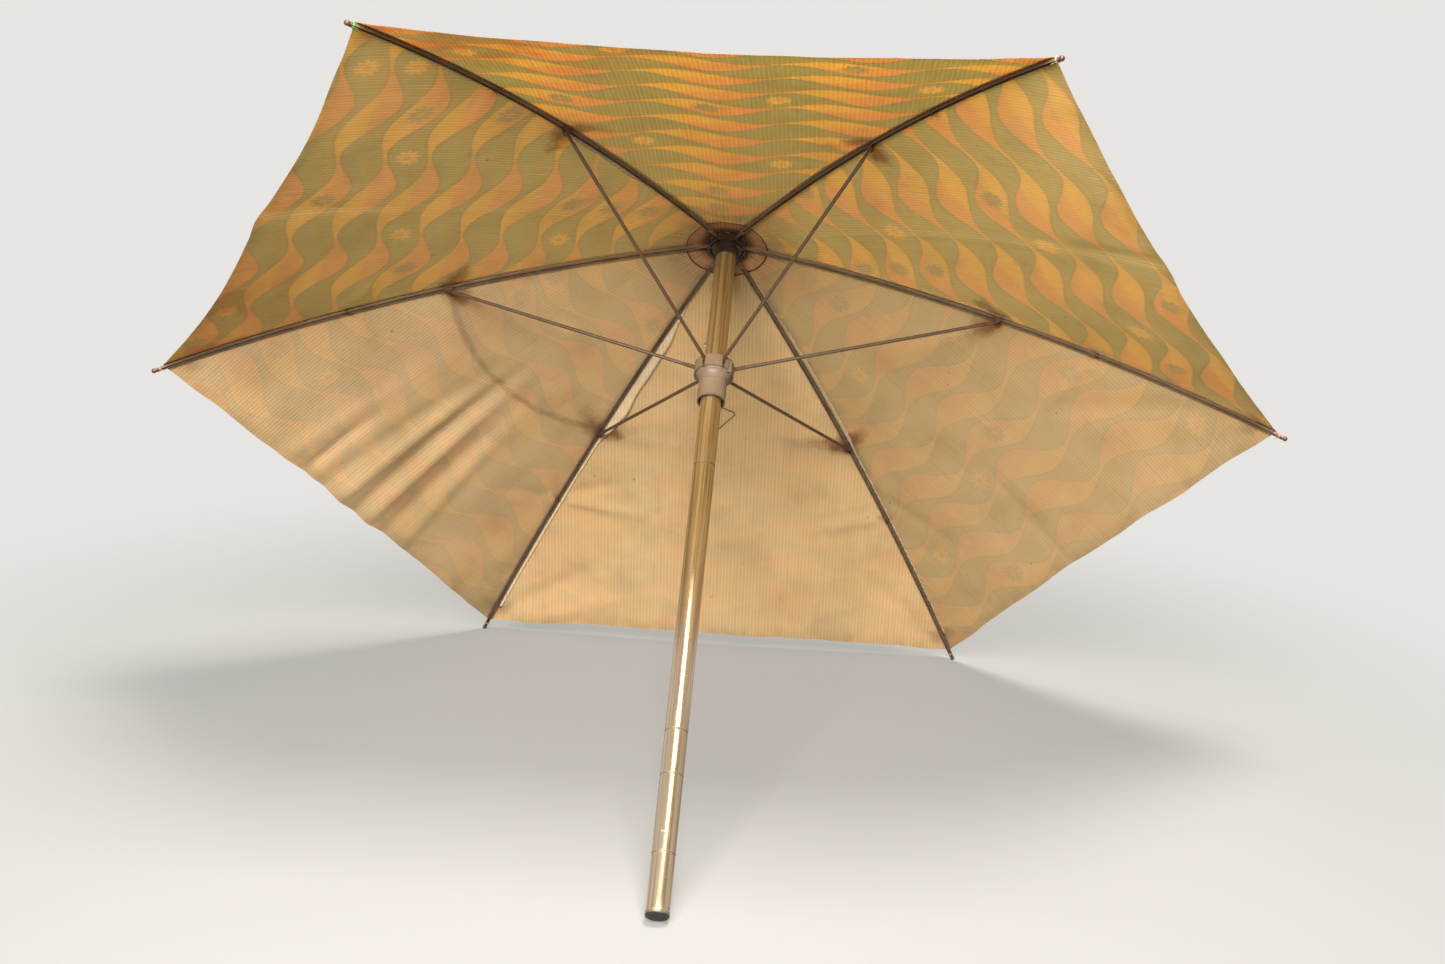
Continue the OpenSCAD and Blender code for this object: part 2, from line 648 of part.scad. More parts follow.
pole_lower();
pole_upper();
foot_plug();
crown();
crown_ring();
top_cap();
knob();
canopy_centre();
stop_loop();
catch_anchor();
catch_wire();
runner();
runner_ring();
for (i = [1 : n_ribs]) at_az((i - 1) * step_az) {
    rib();
    rib_bracket();
    rib_pin();
    rib_tip();
    rib_tie();
    strut();
    canopy_sector();
}
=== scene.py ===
import math

import bmesh
import bpy
from mathutils import Matrix, Vector, noise


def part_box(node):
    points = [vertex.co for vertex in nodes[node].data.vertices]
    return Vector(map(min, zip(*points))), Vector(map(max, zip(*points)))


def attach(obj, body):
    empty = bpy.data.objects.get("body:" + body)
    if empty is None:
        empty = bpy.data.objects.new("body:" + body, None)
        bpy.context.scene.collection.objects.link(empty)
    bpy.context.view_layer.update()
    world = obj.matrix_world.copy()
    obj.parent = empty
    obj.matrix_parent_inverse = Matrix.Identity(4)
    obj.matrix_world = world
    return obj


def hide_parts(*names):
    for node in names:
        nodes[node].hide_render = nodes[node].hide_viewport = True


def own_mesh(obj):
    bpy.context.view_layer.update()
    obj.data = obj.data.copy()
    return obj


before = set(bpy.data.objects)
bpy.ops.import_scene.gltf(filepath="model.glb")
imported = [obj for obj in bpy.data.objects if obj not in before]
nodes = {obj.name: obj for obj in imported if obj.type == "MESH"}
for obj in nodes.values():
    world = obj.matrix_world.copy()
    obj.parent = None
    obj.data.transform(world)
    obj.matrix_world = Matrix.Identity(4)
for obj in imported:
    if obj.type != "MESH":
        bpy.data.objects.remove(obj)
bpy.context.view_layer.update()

scene = bpy.context.scene

# ---- camera ----
# The parasol lies tipped over, on the foot of its pole and two balls, and the camera looks up
# under the canopy from just above the ground.
eye = Vector((0.17157, -2.23567, -0.84843))
sight = Vector((-0.05375, 0.83355, 0.54982)).normalized()
level = Vector((0.99663, 0.01061, 0.08134))
level = (level - level.dot(sight) * sight).normalized()
rise = level.cross(sight)
camera = bpy.data.objects.new("camera", bpy.data.cameras.new("camera"))
camera.data.sensor_width = 36
camera.data.lens = 48.679
camera.matrix_world = (Matrix.Translation(eye)
                       @ Matrix((level, rise, -sight)).transposed().to_4x4())
scene.collection.objects.link(camera)
scene.camera = camera
scene.view_settings.view_transform = "Standard"


# ---- ground and light ----
# A plain pale ground under the foot and the two lower balls, a lamp behind the upper cloth that
# shines through it, a wide lamp in front and a weak one on the far side.
ground_up = Vector((0, -0.742, 0.670)).normalized()
ground_level = -0.0111
ground_middle = Vector((0, 0.35, 0.36))
ground_fades_from, ground_gone_at = 0.75, 1.7
pale = (0.80, 0.785, 0.76)


class Reading:
    """A number that a finish works out at each point of a surface."""

    def __init__(self, tree, socket):
        self.tree, self.socket = tree, socket

    def __add__(self, other):
        return work("ADD", self, other)

    __radd__ = __add__

    def __sub__(self, other):
        return work("SUBTRACT", self, other)

    def __rsub__(self, other):
        return work("SUBTRACT", other, self)

    def __mul__(self, other):
        return work("MULTIPLY", self, other)

    __rmul__ = __mul__

    def __truediv__(self, other):
        return work("DIVIDE", self, other)


def add_node(tree, kind, feeds=None, **settings):
    """A node, its inputs linked to readings and sockets or set to plain numbers and colours."""
    node = tree.nodes.new(kind)
    for name, value in settings.items():
        setattr(node, name, value)
    for name, value in (feeds or {}).items():
        value = value.socket if isinstance(value, Reading) else value
        if isinstance(value, bpy.types.NodeSocket):
            tree.links.new(value, node.inputs[name])
        elif node.inputs[name].type == "RGBA":
            node.inputs[name].default_value = (*value, 1)
        else:
            node.inputs[name].default_value = value
    return node


def work(kind, *values):
    """One step of a formula, such as a sum or a sine."""
    tree = next(v.tree for v in values if isinstance(v, Reading))
    node = add_node(tree, "ShaderNodeMath", dict(enumerate(values)), operation=kind)
    return Reading(tree, node.outputs[0])


def climb(value, start, end):
    """0 at start and 1 at end, smoothly."""
    node = add_node(value.tree, "ShaderNodeMapRange", {
        "Value": value, "From Min": min(start, end), "From Max": max(start, end),
        "To Min": float(start > end), "To Max": float(start < end)},
        interpolation_type="SMOOTHSTEP")
    return Reading(value.tree, node.outputs["Result"])


def on_part(tree):
    """The place of a point on the whole part."""
    return add_node(tree, "ShaderNodeTexCoord").outputs["Object"]


def mix_shaders(tree, share, first, second):
    """The first shader with a share of the second."""
    return add_node(tree, "ShaderNodeMixShader",
                    {0: share, 1: first.outputs[0], 2: second.outputs[0]})


def new_finish(name):
    """A material with an empty tree and its output."""
    made = bpy.data.materials.new(name)
    made.use_nodes = True
    tree = made.node_tree
    tree.nodes.clear()
    return made, tree, add_node(tree, "ShaderNodeOutputMaterial")


def sky_rays(tree):
    """1 where the camera, a gloss or glass looks, 0 where light is gathered, through cloth too."""
    path = add_node(tree, "ShaderNodeLightPath")
    seen, gloss, clear, soft = (Reading(tree, path.outputs[f"Is {kind} Ray"])
                                for kind in ("Camera", "Glossy", "Transmission", "Diffuse"))
    return work("MAXIMUM", work("MAXIMUM", seen, gloss), clear - soft)


def make_piece(name, shape, *finishes):
    """The piece that a finished shape becomes, with its materials."""
    mesh = bpy.data.meshes.new(name)
    shape.to_mesh(mesh)
    shape.free()
    for finish in finishes:
        mesh.materials.append(finish)
    piece = bpy.data.objects.new(name, mesh)
    scene.collection.objects.link(piece)
    return piece


world = bpy.data.worlds.new("studio")
world.use_nodes = True
scene.world = world
tree = world.node_tree
tree.nodes.clear()
backdrop = add_node(tree, "ShaderNodeBackground", {"Color": pale, "Strength": 1.0})
ambient = add_node(tree, "ShaderNodeBackground", {"Color": (1.0, 0.97, 0.92), "Strength": 0.15})
add_node(tree, "ShaderNodeOutputWorld", {
    "Surface": mix_shaders(tree, sky_rays(tree), ambient, backdrop).outputs[0]})

ground_finish, tree, out = new_finish("pale_ground")
shaded = add_node(tree, "ShaderNodeBsdfDiffuse", {"Color": (0.16, 0.158, 0.156)})
glow = add_node(tree, "ShaderNodeEmission", {"Color": pale, "Strength": sky_rays(tree) * 0.36})
lit = add_node(tree, "ShaderNodeAddShader", {0: shaded.outputs[0], 1: glow.outputs[0]})
away = add_node(tree, "ShaderNodeVectorMath", {0: on_part(tree), 1: ground_middle},
                operation="DISTANCE")
fade = climb(Reading(tree, away.outputs["Value"]), ground_fades_from, ground_gone_at)
under = Reading(tree, add_node(tree, "ShaderNodeNewGeometry").outputs["Backfacing"])
clear = add_node(tree, "ShaderNodeBsdfTransparent")
tree.links.new(mix_shaders(tree, work("MAXIMUM", fade, under), lit, clear).outputs[0],
               out.inputs["Surface"])
shape = bmesh.new()
bmesh.ops.create_grid(shape, x_segments=8, y_segments=8, size=2.4)
bmesh.ops.transform(shape, verts=shape.verts, matrix=Matrix.Translation(
    ground_middle + (ground_level - ground_up.dot(ground_middle)) * ground_up)
    @ ground_up.to_track_quat("Z", "Y").to_matrix().to_4x4())
ground = make_piece("ground", shape, ground_finish)
ground.visible_shadow = False
ground.visible_diffuse = False

middle = Vector((0, 0, 0.85))
for name, spot, width, watts in (
        ("lamp_behind", (0.50, -2.85, 2.3), 1.1, 280),
        ("lamp_front", (-0.35, -2.9, 0.03), 1.6, 225),
        ("lamp_far", (0.8, 2.2, 2.3), 1.6, 20)):
    lamp = bpy.data.objects.new(name, bpy.data.lights.new(name, "AREA"))
    lamp.data.size = width
    lamp.data.energy = watts
    lamp.data.color = (1.0, 0.955, 0.88)
    lamp.location = spot
    lamp.rotation_euler = (middle - Vector(spot)).to_track_quat("-Z", "Y").to_euler()
    scene.collection.objects.link(lamp)


# ---- pole ----
# Two lengths of bright tube, the lower one swaged into the upper, with rolled grooves. Brown
# streaks in its colour are a painted reflection of a floor; towards the top it turns a yellow grey
# that is partly a dulled finish and partly a painted reflection of the canopy. Dirt sits in the
# grooves.
dulling_and_painted_reflection_from, dulling_and_painted_reflection_at = 0.30, 0.56
# Height and half width of each groove, then of the dirt at the foot and at the crown.
grooves = ((0.077, 0.0022), (0.1812, 0.0016), (0.242, 0.0022), (0.649, 0.0022),
           (0.0015, 0.003), (1.034, 0.006))


def mottle(tree, place, scale, detail=3.0, rough=0.55, stretch=None):
    """Cloudy variation, about 0.5, of so many patches to a metre."""
    if stretch:
        place = add_node(tree, "ShaderNodeMapping",
                         {"Vector": place, "Scale": stretch}).outputs[0]
    node = add_node(tree, "ShaderNodeTexNoise",
                    {"Vector": place, "Scale": scale, "Detail": detail, "Roughness": rough})
    return Reading(tree, node.outputs[0])


def blend_colours(tree, share, first, second, how="MIX"):
    """The first colour with a share of the second."""
    node = add_node(tree, "ShaderNodeMix", {0: share, 6: first, 7: second},
                    data_type="RGBA", blend_type=how)
    return node.outputs[2]


def raised(tree, height, strength, deep):
    """Grain or weave that stands up from a surface."""
    return add_node(tree, "ShaderNodeBump", {
        "Height": height, "Strength": strength, "Distance": deep}).outputs[0]


def finish_from(name, build, grain, deep=0.0002, gloss=0.5):
    """A finish from its colour, roughness, metallic share and grain."""
    made, tree, out = new_finish(name)
    colour, roughness, metallic, height = build(tree)
    near = add_node(tree, "ShaderNodeBsdfPrincipled", {
        "Base Color": colour, "Roughness": roughness, "Metallic": metallic,
        "Specular IOR Level": gloss, "Normal": raised(tree, height, grain, deep)})
    tree.links.new(near.outputs[0], out.inputs["Surface"])
    return made


def dress(names, made):
    """Give solids of the part their finish."""
    for name in names:
        for at in nodes[name].material_slots:
            at.material = made


def whereabouts(tree):
    """A point's x, y, z and distance from the middle of the pole."""
    split = add_node(tree, "ShaderNodeSeparateXYZ", {0: on_part(tree)})
    x, y, z = (Reading(tree, split.outputs[k]) for k in range(3))
    return x, y, z, work("SQRT", x * x + y * y)


def tube(tree):
    """Bright tube with streaks of painted reflection, a yellow top that is partly dulled and
    partly painted reflection, and dirt in its grooves and in spots.
    """
    place = on_part(tree)
    z = whereabouts(tree)[2]
    streak = mottle(tree, place, 190, 3, 0.6, (1, 1, 0.014))
    cloud = mottle(tree, place, 9, 4, 0.6)
    scratch = mottle(tree, place, 420, 2, 0.5, (1, 1, 0.05))
    dulling_and_painted_reflection = climb(z, dulling_and_painted_reflection_from, dulling_and_painted_reflection_at)
    # Painted reflection: the dark brown streaks of the lower tube stand for a floor mirrored in
    # it, and the yellow of the upper tube partly for the canopy mirrored in it.
    chrome_painted_reflection = blend_colours(tree, climb(streak, 0.35, 0.7), (0.68, 0.545, 0.385),
                           (0.34, 0.23, 0.125))
    dulled_painted_reflection = blend_colours(tree, climb(streak, 0.38, 0.62), (0.46, 0.312, 0.127),
                           (0.205, 0.128, 0.039))
    colour = blend_colours(tree, dulling_and_painted_reflection * 0.9 + climb(cloud, 0.55, 0.8) * 0.1, chrome_painted_reflection, dulled_painted_reflection)
    film = climb(cloud + (streak - 0.5) * 0.4, 0.50, 0.72)
    colour = blend_colours(tree, film * 0.35, colour, (0.30, 0.24, 0.15))
    bands = [climb(work("ABSOLUTE", z - at), half, half * 0.35) for at, half in grooves]
    groove = bands[0]
    for band in bands[1:]:
        groove = work("MAXIMUM", groove, band)
    spots = climb(mottle(tree, place, 150, 3), 0.66, 0.74)
    dirt = work("MAXIMUM", groove * 0.75, spots * 0.55)
    colour = blend_colours(tree, dirt, colour, (0.055, 0.038, 0.022))
    rough = dulling_and_painted_reflection * 0.14 + film * 0.16 + climb(streak, 0.4, 0.8) * 0.10 + dirt * 0.4 + 0.15
    return colour, rough, 1 - dirt * 0.6 - dulling_and_painted_reflection * 0.35, scratch + streak


dress(["pole_lower", "pole_upper"], finish_from("tube_dulled_painted_reflection", tube, 0.06))


# ---- foot plug and catch plug ----
# Black moulded plugs: one closes the foot of the tube, the other sits inside it and holds the
# tail of the catch.
def moulded(dark, light, dust, rough=0.42):
    """Moulded plastic with fine grain, handling marks and dust in its low places."""
    def build(tree):
        place = on_part(tree)
        cloud = mottle(tree, place, 45, 4, 0.6)
        fine = mottle(tree, place, 1920, 2)
        colour = blend_colours(tree, climb(cloud, 0.3, 0.7), dark, light)
        colour = blend_colours(tree, climb(cloud + (fine - 0.5) * 0.5, 0.56, 0.72) * 0.45,
                               colour, dust)
        return colour, climb(cloud, 0.3, 0.8) * 0.22 + rough, 0.0, fine + cloud
    return build


dress(["foot_plug", "catch_anchor"], finish_from("foot_black_plastic", moulded(
    (0.012, 0.011, 0.010), (0.025, 0.022, 0.019), (0.12, 0.09, 0.06)), 0.15))


# ---- catch and stop loop ----
# Spring wire that stands out of the pole's slot and carries the runner, gone to rust, and a
# duller loop of wire through the pole that stops the runner on its way up.
def rusted(first, second, rough, metallic):
    """Wire with its finish eaten by rust, in patches along it."""
    def build(tree):
        place = on_part(tree)
        cloud = mottle(tree, place, 130, 5, 0.62)
        pits = mottle(tree, place, 900, 3)
        colour = blend_colours(tree, climb(cloud, 0.40, 0.60), first, second)
        return colour, climb(cloud, 0.3, 0.7) * 0.25 + rough - 0.1, metallic, pits + cloud
    return build


rusty_wire = finish_from("wire_rusty", rusted((0.105, 0.034, 0.014), (0.060, 0.024, 0.012),
                                              0.62, 0.0), 0.35)
dress(["catch_wire"], rusty_wire)
dress(["stop_loop"], finish_from("wire_dull", rusted((0.36, 0.31, 0.24), (0.24, 0.18, 0.12),
                                                     0.42, 0.8), 0.2))


# ---- crown ----
# A dark brown notched moulding pressed on the pole's top, which holds the ribs' eyes on a ring
# of wire.
dress(["crown"], finish_from("crown_brown_plastic", moulded(
    (0.020, 0.010, 0.006), (0.045, 0.022, 0.012), (0.13, 0.065, 0.03)), 0.2))
dress(["crown_ring"], rusty_wire)


# ---- ribs and struts ----
# Folded steel channels and round steel rods in a dark brown lacquer, worn along their edges and
# rusted at each joint, where the folded bracket and its riveted pin hold the strut's eye.
joint_at, tie_at = 0.402, 0.544


def brown_lacquer(first, second, worn_to, rust_at, rough):
    """Brown lacquer with worn and rusted places, each so far from the pole and so wide."""
    def build(tree):
        place, out = on_part(tree), whereabouts(tree)[3]
        cloud = mottle(tree, place, 26, 5, 0.62)
        fine = mottle(tree, place, 330, 4, 0.6)
        colour = blend_colours(tree, climb(cloud, 0.35, 0.65), first, second)
        worn = climb(fine + (cloud - 0.5) * 0.5, 0.56, 0.70)
        colour = blend_colours(tree, worn * 0.55, colour, worn_to)
        rust = climb(cloud + (fine - 0.5) * 0.6, 0.62, 0.72) * 0.7
        for at, wide in rust_at:
            rust = work("MAXIMUM", rust, climb(
                work("ABSOLUTE", out - at) + (fine - 0.5) * wide * 1.8, wide, wide * 0.1))
        colour = blend_colours(tree, rust * 0.8, colour, (0.105, 0.038, 0.018))
        return colour, rust * 0.35 + worn * 0.1 + rough, 0.0, fine
    return build


rib_lacquer = finish_from("rib_brown_lacquer", brown_lacquer(
    (0.115, 0.074, 0.043), (0.160, 0.108, 0.066), (0.23, 0.165, 0.10),
    ((joint_at, 0.016), (tie_at, 0.006), (0.030, 0.012), (0.79, 0.010)), 0.40), 0.3)
strut_lacquer = finish_from("strut_brown_lacquer", brown_lacquer(
    (0.085, 0.040, 0.018), (0.080, 0.052, 0.026), (0.14, 0.095, 0.05),
    ((0.395, 0.014), (0.032, 0.012)), 0.42), 0.3)
joint_rust = finish_from("joint_rust", brown_lacquer(
    (0.045, 0.025, 0.016), (0.065, 0.036, 0.020), (0.12, 0.07, 0.04),
    ((joint_at, 0.006),), 0.55), 0.5)
tip_plastic = finish_from("tip_maroon", moulded(
    (0.055, 0.018, 0.012), (0.085, 0.030, 0.018), (0.20, 0.12, 0.08), 0.30), 0.1)
for rib in range(1, 7):
    dress([f"rib_{rib}"], rib_lacquer)
    dress([f"strut_{rib}"], strut_lacquer)
    dress([f"rib_bracket_{rib}", f"rib_pin_{rib}"], joint_rust)
    dress([f"rib_tip_{rib}"], tip_plastic)


# ---- runner ----
# The pale grey-beige moulding that slides on the pole, slit for the struts on their ring of
# wire, its slits rust-stained and darkened with painted shade, its lower rim and bore darker.
def runner_plastic(tree):
    """Pale plastic with rust stains and painted shade at six slits, a darker rim and bore, and
    smears down its side.
    """
    place = on_part(tree)
    x, y, z, out = whereabouts(tree)
    cloud = mottle(tree, place, 40, 4, 0.6)
    fine = mottle(tree, place, 1800, 2)
    colour = blend_colours(tree, climb(cloud, 0.3, 0.7), (0.183, 0.132, 0.086),
                           (0.213, 0.155, 0.101))
    turn = work("ARCTAN2", y, x)
    from_slit = work("ABSOLUTE", work("SINE", turn * 3))
    # Rust stain with painted shade round each slit.
    slit_rust_and_painted_shade = climb(from_slit + (cloud - 0.5) * 0.4, 0.42, 0.05)
    flange = climb(out, 0.019, 0.026) * climb(z, 0.800, 0.812)
    colour = blend_colours(tree, slit_rust_and_painted_shade * flange * 0.65, colour, (0.13, 0.065, 0.03))
    # Painted shade: near black in the middle of each slit.
    colour = blend_colours(tree, climb(from_slit, 0.24, 0.14) * flange, colour,
                           (0.025, 0.014, 0.009))
    # Darker towards the lower rim and in the bore.
    rim = work("MAXIMUM", climb(z + (cloud - 0.5) * 0.006, 0.7625, 0.7592),
               climb(out, 0.0185, 0.0160))
    colour = blend_colours(tree, rim * 0.7, colour, (0.10, 0.065, 0.04))
    smear = climb(mottle(tree, place, 70, 4, 0.6, (1, 1, 0.3)), 0.58, 0.74)
    colour = blend_colours(tree, smear * 0.35, colour, (0.27, 0.19, 0.12))
    return colour, climb(cloud, 0.3, 0.8) * 0.2 + 0.40, 0.0, fine + cloud


runner_beige = finish_from("runner_beige_plastic", runner_plastic, 0.12)
dress(["runner"], runner_beige)
dress(["runner_ring"], rusty_wire)

# The flange flares out of the sleeve in one sweep: a turned collar fills the step under it.
runner_foot, flange_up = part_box("runner")[0][2], 0.046
flange_foot = runner_foot + flange_up
flare_in, flare_out, flare_tall = 0.02004, 0.02655, 0.0145
shape = bmesh.new()
sweep = [shape.verts.new((flare_in + (flare_out - flare_in) * (k / 10) ** 3.4, 0,
                          flange_foot - flare_tall * (1 - k / 10))) for k in range(11)]
sweep.append(shape.verts.new((flare_in, 0, flange_foot)))
edges = [shape.edges.new((a, b)) for a, b in zip(sweep, sweep[1:] + sweep[:1])]
bmesh.ops.spin(shape, geom=sweep + edges, cent=(0, 0, 0), axis=(0, 0, 1), angle=2 * math.pi,
               steps=96, use_merge=True)
bmesh.ops.remove_doubles(shape, verts=shape.verts[:], dist=1e-7)
bmesh.ops.recalc_face_normals(shape, faces=shape.faces[:])
for face in shape.faces:
    face.smooth = abs(face.normal.z) < 0.99
flare = make_piece("runner_flare", shape, runner_beige)
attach(flare, "runner_unit")


# ---- printed cloth of the canopy ----
# A corded cotton, printed on the outside and pale inside. Six gores are sewn along the ribs, and
# each is modelled as two halves, one on each rib, that meet in the middle of the gore and fold to
# the inside when the ribs close.
rib_root, rib_reach, hub_height, droop, bow = 0.024, 0.800, 1.046, 0.290, 0.031
span = math.hypot(rib_reach - rib_root, droop)
arc = (span ** 2 / 4 + bow ** 2) / (2 * bow)
arc_r = (rib_root + rib_reach) / 2 - droop / span * (arc - bow)
arc_z = hub_height - droop / 2 - (rib_reach - rib_root) / span * (arc - bow)
rib_tall, rib_wide = 0.0042, 0.0052
cloth_gap = 0.0019
cloth_in, cloth_out = 0.0346, 0.789
under_cap = 1.05102
scoop, sag = 0.014, 0.016
half_gore = math.radians(30)
# For each metre away from the pole: the cloth's length along the bow, and the way from a rib to
# the middle of the gore.
slant, rib_to_middle = 1.09, 0.433
cloth_thick = 0.0004


def rib_height(r):
    """Height of a rib's middle line, r from the pole."""
    return arc_z + math.sqrt(arc ** 2 - (r - arc_r) ** 2)


def rib_slope(r):
    """How steeply a rib falls, r from the pole, in radians."""
    return math.atan2(r - arc_r, rib_height(r) - arc_z)


crown_lift = under_cap - rib_height(cloth_in) - rib_tall / 2 - cloth_gap


def ease(value, start, end):
    """0 before start, 1 after end, with a smooth climb."""
    t = min(1.0, max(0.0, (value - start) / (end - start)))
    return t * t * (3 - 2 * t)


def cloth_height(r):
    """Height of the cloth's middle over a rib, which rises under the cap."""
    r = max(r, cloth_in)
    return (rib_height(r) + rib_tall / 2 + cloth_gap
            + crown_lift * math.exp(-(r - cloth_in) / 0.026)
            + 0.0003 + 0.0003 * ease(r, 0.036, 0.046))


# Folds and creases of each gore, from one point to another of the flat gore: across from its
# middle, along from the hub, width and height.
folds = {
    1: [(-0.27, 0.513, -0.10, 0.53, 0.010, -0.0030), (-0.33, 0.66, -0.10, 0.50, 0.018, 0.0040),
        (-0.26, 0.54, -0.16, 0.64, 0.012, -0.0025), (0.26, 0.44, 0.20, 0.62, 0.013, 0.0035),
        (0.20, 0.38, 0.05, 0.34, 0.012, -0.0025), (0.05, 0.72, 0.03, 0.50, 0.014, 0.0025)],
    2: [(0.27, 0.513, 0.12, 0.535, 0.008, -0.0036), (0.26, 0.50, 0.15, 0.475, 0.009, 0.0026),
        (0.37, 0.73, 0.19, 0.62, 0.016, 0.0044), (0.33, 0.74, 0.15, 0.68, 0.013, -0.0026),
        (0.20, 0.38, 0.07, 0.40, 0.012, -0.0028), (-0.20, 0.38, -0.05, 0.36, 0.012, -0.0028),
        (-0.27, 0.513, -0.14, 0.54, 0.010, -0.0026), (-0.36, 0.72, -0.22, 0.60, 0.013, 0.0028)],
    3: [(-0.020, 0.72, -0.004, 0.40, 0.012, 0.0060), (-0.052, 0.72, -0.028, 0.43, 0.011, -0.0052),
        (-0.092, 0.72, -0.058, 0.43, 0.014, 0.0050), (0.016, 0.72, 0.012, 0.46, 0.011, -0.0050),
        (0.055, 0.72, 0.030, 0.44, 0.015, 0.0040), (-0.135, 0.72, -0.09, 0.50, 0.013, -0.0036),
        (0.100, 0.72, 0.094, 0.60, 0.009, 0.0056), (0.14, 0.72, 0.11, 0.54, 0.014, -0.0028),
        (-0.27, 0.513, -0.16, 0.47, 0.010, -0.0026), (-0.26, 0.52, -0.17, 0.56, 0.010, 0.0024),
        (0.27, 0.513, 0.17, 0.53, 0.010, -0.0026)],
    4: [(0.0, 0.16, 0.004, 0.73, 0.009, -0.0012), (0.02, 0.73, 0.012, 0.56, 0.013, 0.0034),
        (-0.27, 0.513, -0.16, 0.50, 0.010, -0.0020), (0.27, 0.513, 0.18, 0.52, 0.010, -0.0020)],
    5: [(0.0, 0.10, 0.0, 0.73, 0.009, -0.0010), (-0.20, 0.38, -0.09, 0.36, 0.012, -0.0022),
        (0.20, 0.38, 0.08, 0.40, 0.012, -0.0024), (0.27, 0.513, 0.14, 0.53, 0.010, -0.0020)],
    6: [(0.004, 0.14, -0.004, 0.73, 0.009, -0.0012), (-0.02, 0.73, -0.01, 0.58, 0.012, 0.0034),
        (0.20, 0.38, 0.10, 0.41, 0.011, -0.0022), (-0.27, 0.513, -0.17, 0.52, 0.010, -0.0020)],
}
slack = {1: 1.1, 2: 0.9, 3: 1.25, 4: 0.8, 5: 0.55, 6: 0.85}


def relief(gore, across, along, from_rib):
    """How far the slack cloth stands off its even curve."""
    rise = 0.0
    for a0, b0, a1, b1, wide, high in folds[gore]:
        da, db = a1 - a0, b1 - b0
        t = ((across - a0) * da + (along - b0) * db) / (da * da + db * db)
        if -0.15 < t < 1.25:
            off = math.hypot(across - a0 - t * da, along - b0 - t * db)
            if off < 3 * wide:
                rise += (high * math.exp(-(off / wide) ** 2)
                         * ease(t, -0.15, 0.1) * (1 - ease(t, 0.45, 1.25)))
    spot = Vector((across * 8, along * 5.5, gore * 7.3))
    rise += 0.0030 * slack[gore] * noise.noise(spot)
    rise += 0.0011 * slack[gore] * noise.noise(spot * 2.7)
    rise += 0.0006 * math.sin(along * 370 + 3 * noise.noise(spot)) * math.exp(-from_rib / 0.018)
    return rise * ease(from_rib, 0.0, 0.030) * ease(along, 0.07, 0.16)


def gore_edge(gore, across, v):
    """Reach along the ribs of the cut edge, v of the way from the rib to the middle."""
    full = v * (2 - v)
    wander = 0.0030 * noise.noise(Vector((across * 13, gore * 5.1, 2.0))) * min(1, full * 3)
    corner = 0.0040 * math.exp(-(across / 0.03) ** 2) if gore in (4, 6) else 0.0
    cup = 0.010 * math.sin(math.pi * v) if gore == 4 else 0.0
    return cloth_out - scoop / math.cos(half_gore) * full + wander + corner - cup


def cloth_point(gore, across, r, lift=0.0):
    """A point of the cloth's outer face: across the gore from its middle, r along the ribs."""
    v = min(1.0, max(0.0, 1 - abs(across) * 2 / r))
    from_rib = rib_to_middle * r * v
    along = slant * r * math.cos(half_gore)
    turn = math.radians(60 * gore - 30)
    ripple = 0.0016 * noise.noise(Vector((across * 22, 4.0, gore * 3.7)))
    ripple *= ease(r, gore_edge(gore, across, v) - 0.06, cloth_out) * ease(from_rib, 0.01, 0.05)
    high = (cloth_height(r) - sag * (r / cloth_out) ** 2 * v * (2 - v)
            + relief(gore, across, along, from_rib) + ripple + cloth_thick / 2 + lift)
    out = r * math.cos(half_gore)
    return Vector((out * math.cos(turn) - across * math.sin(turn),
                   out * math.sin(turn) + across * math.cos(turn), high))


def vector(tree, x, y, z=0.0):
    """Three numbers as one place."""
    return add_node(tree, "ShaderNodeCombineXYZ", {0: x, 1: y, 2: z}).outputs[0]


def own_number(tree, name):
    """A number that the cloth carries."""
    return Reading(tree, add_node(tree, "ShaderNodeAttribute",
                                  attribute_name=name).outputs["Fac"])


def own_map(tree, name):
    """A map that the cloth carries: the place on it, across and along."""
    place = add_node(tree, "ShaderNodeUVMap", uv_map=name).outputs[0]
    split = add_node(tree, "ShaderNodeSeparateXYZ", {0: place})
    return place, Reading(tree, split.outputs[0]), Reading(tree, split.outputs[1])


repeat_long, repeat_high = 0.184, 0.062
gold, peach = (0.80, 0.51, 0.06), (0.78, 0.37, 0.10)
sage, khaki, olive_line = (0.34, 0.36, 0.16), (0.38, 0.35, 0.095), (0.22, 0.18, 0.045)
petal_grey, petal_gold = (0.28, 0.31, 0.19), (0.86, 0.56, 0.10)
eye_peach, eye_brown = (0.80, 0.37, 0.13), (0.50, 0.26, 0.10)


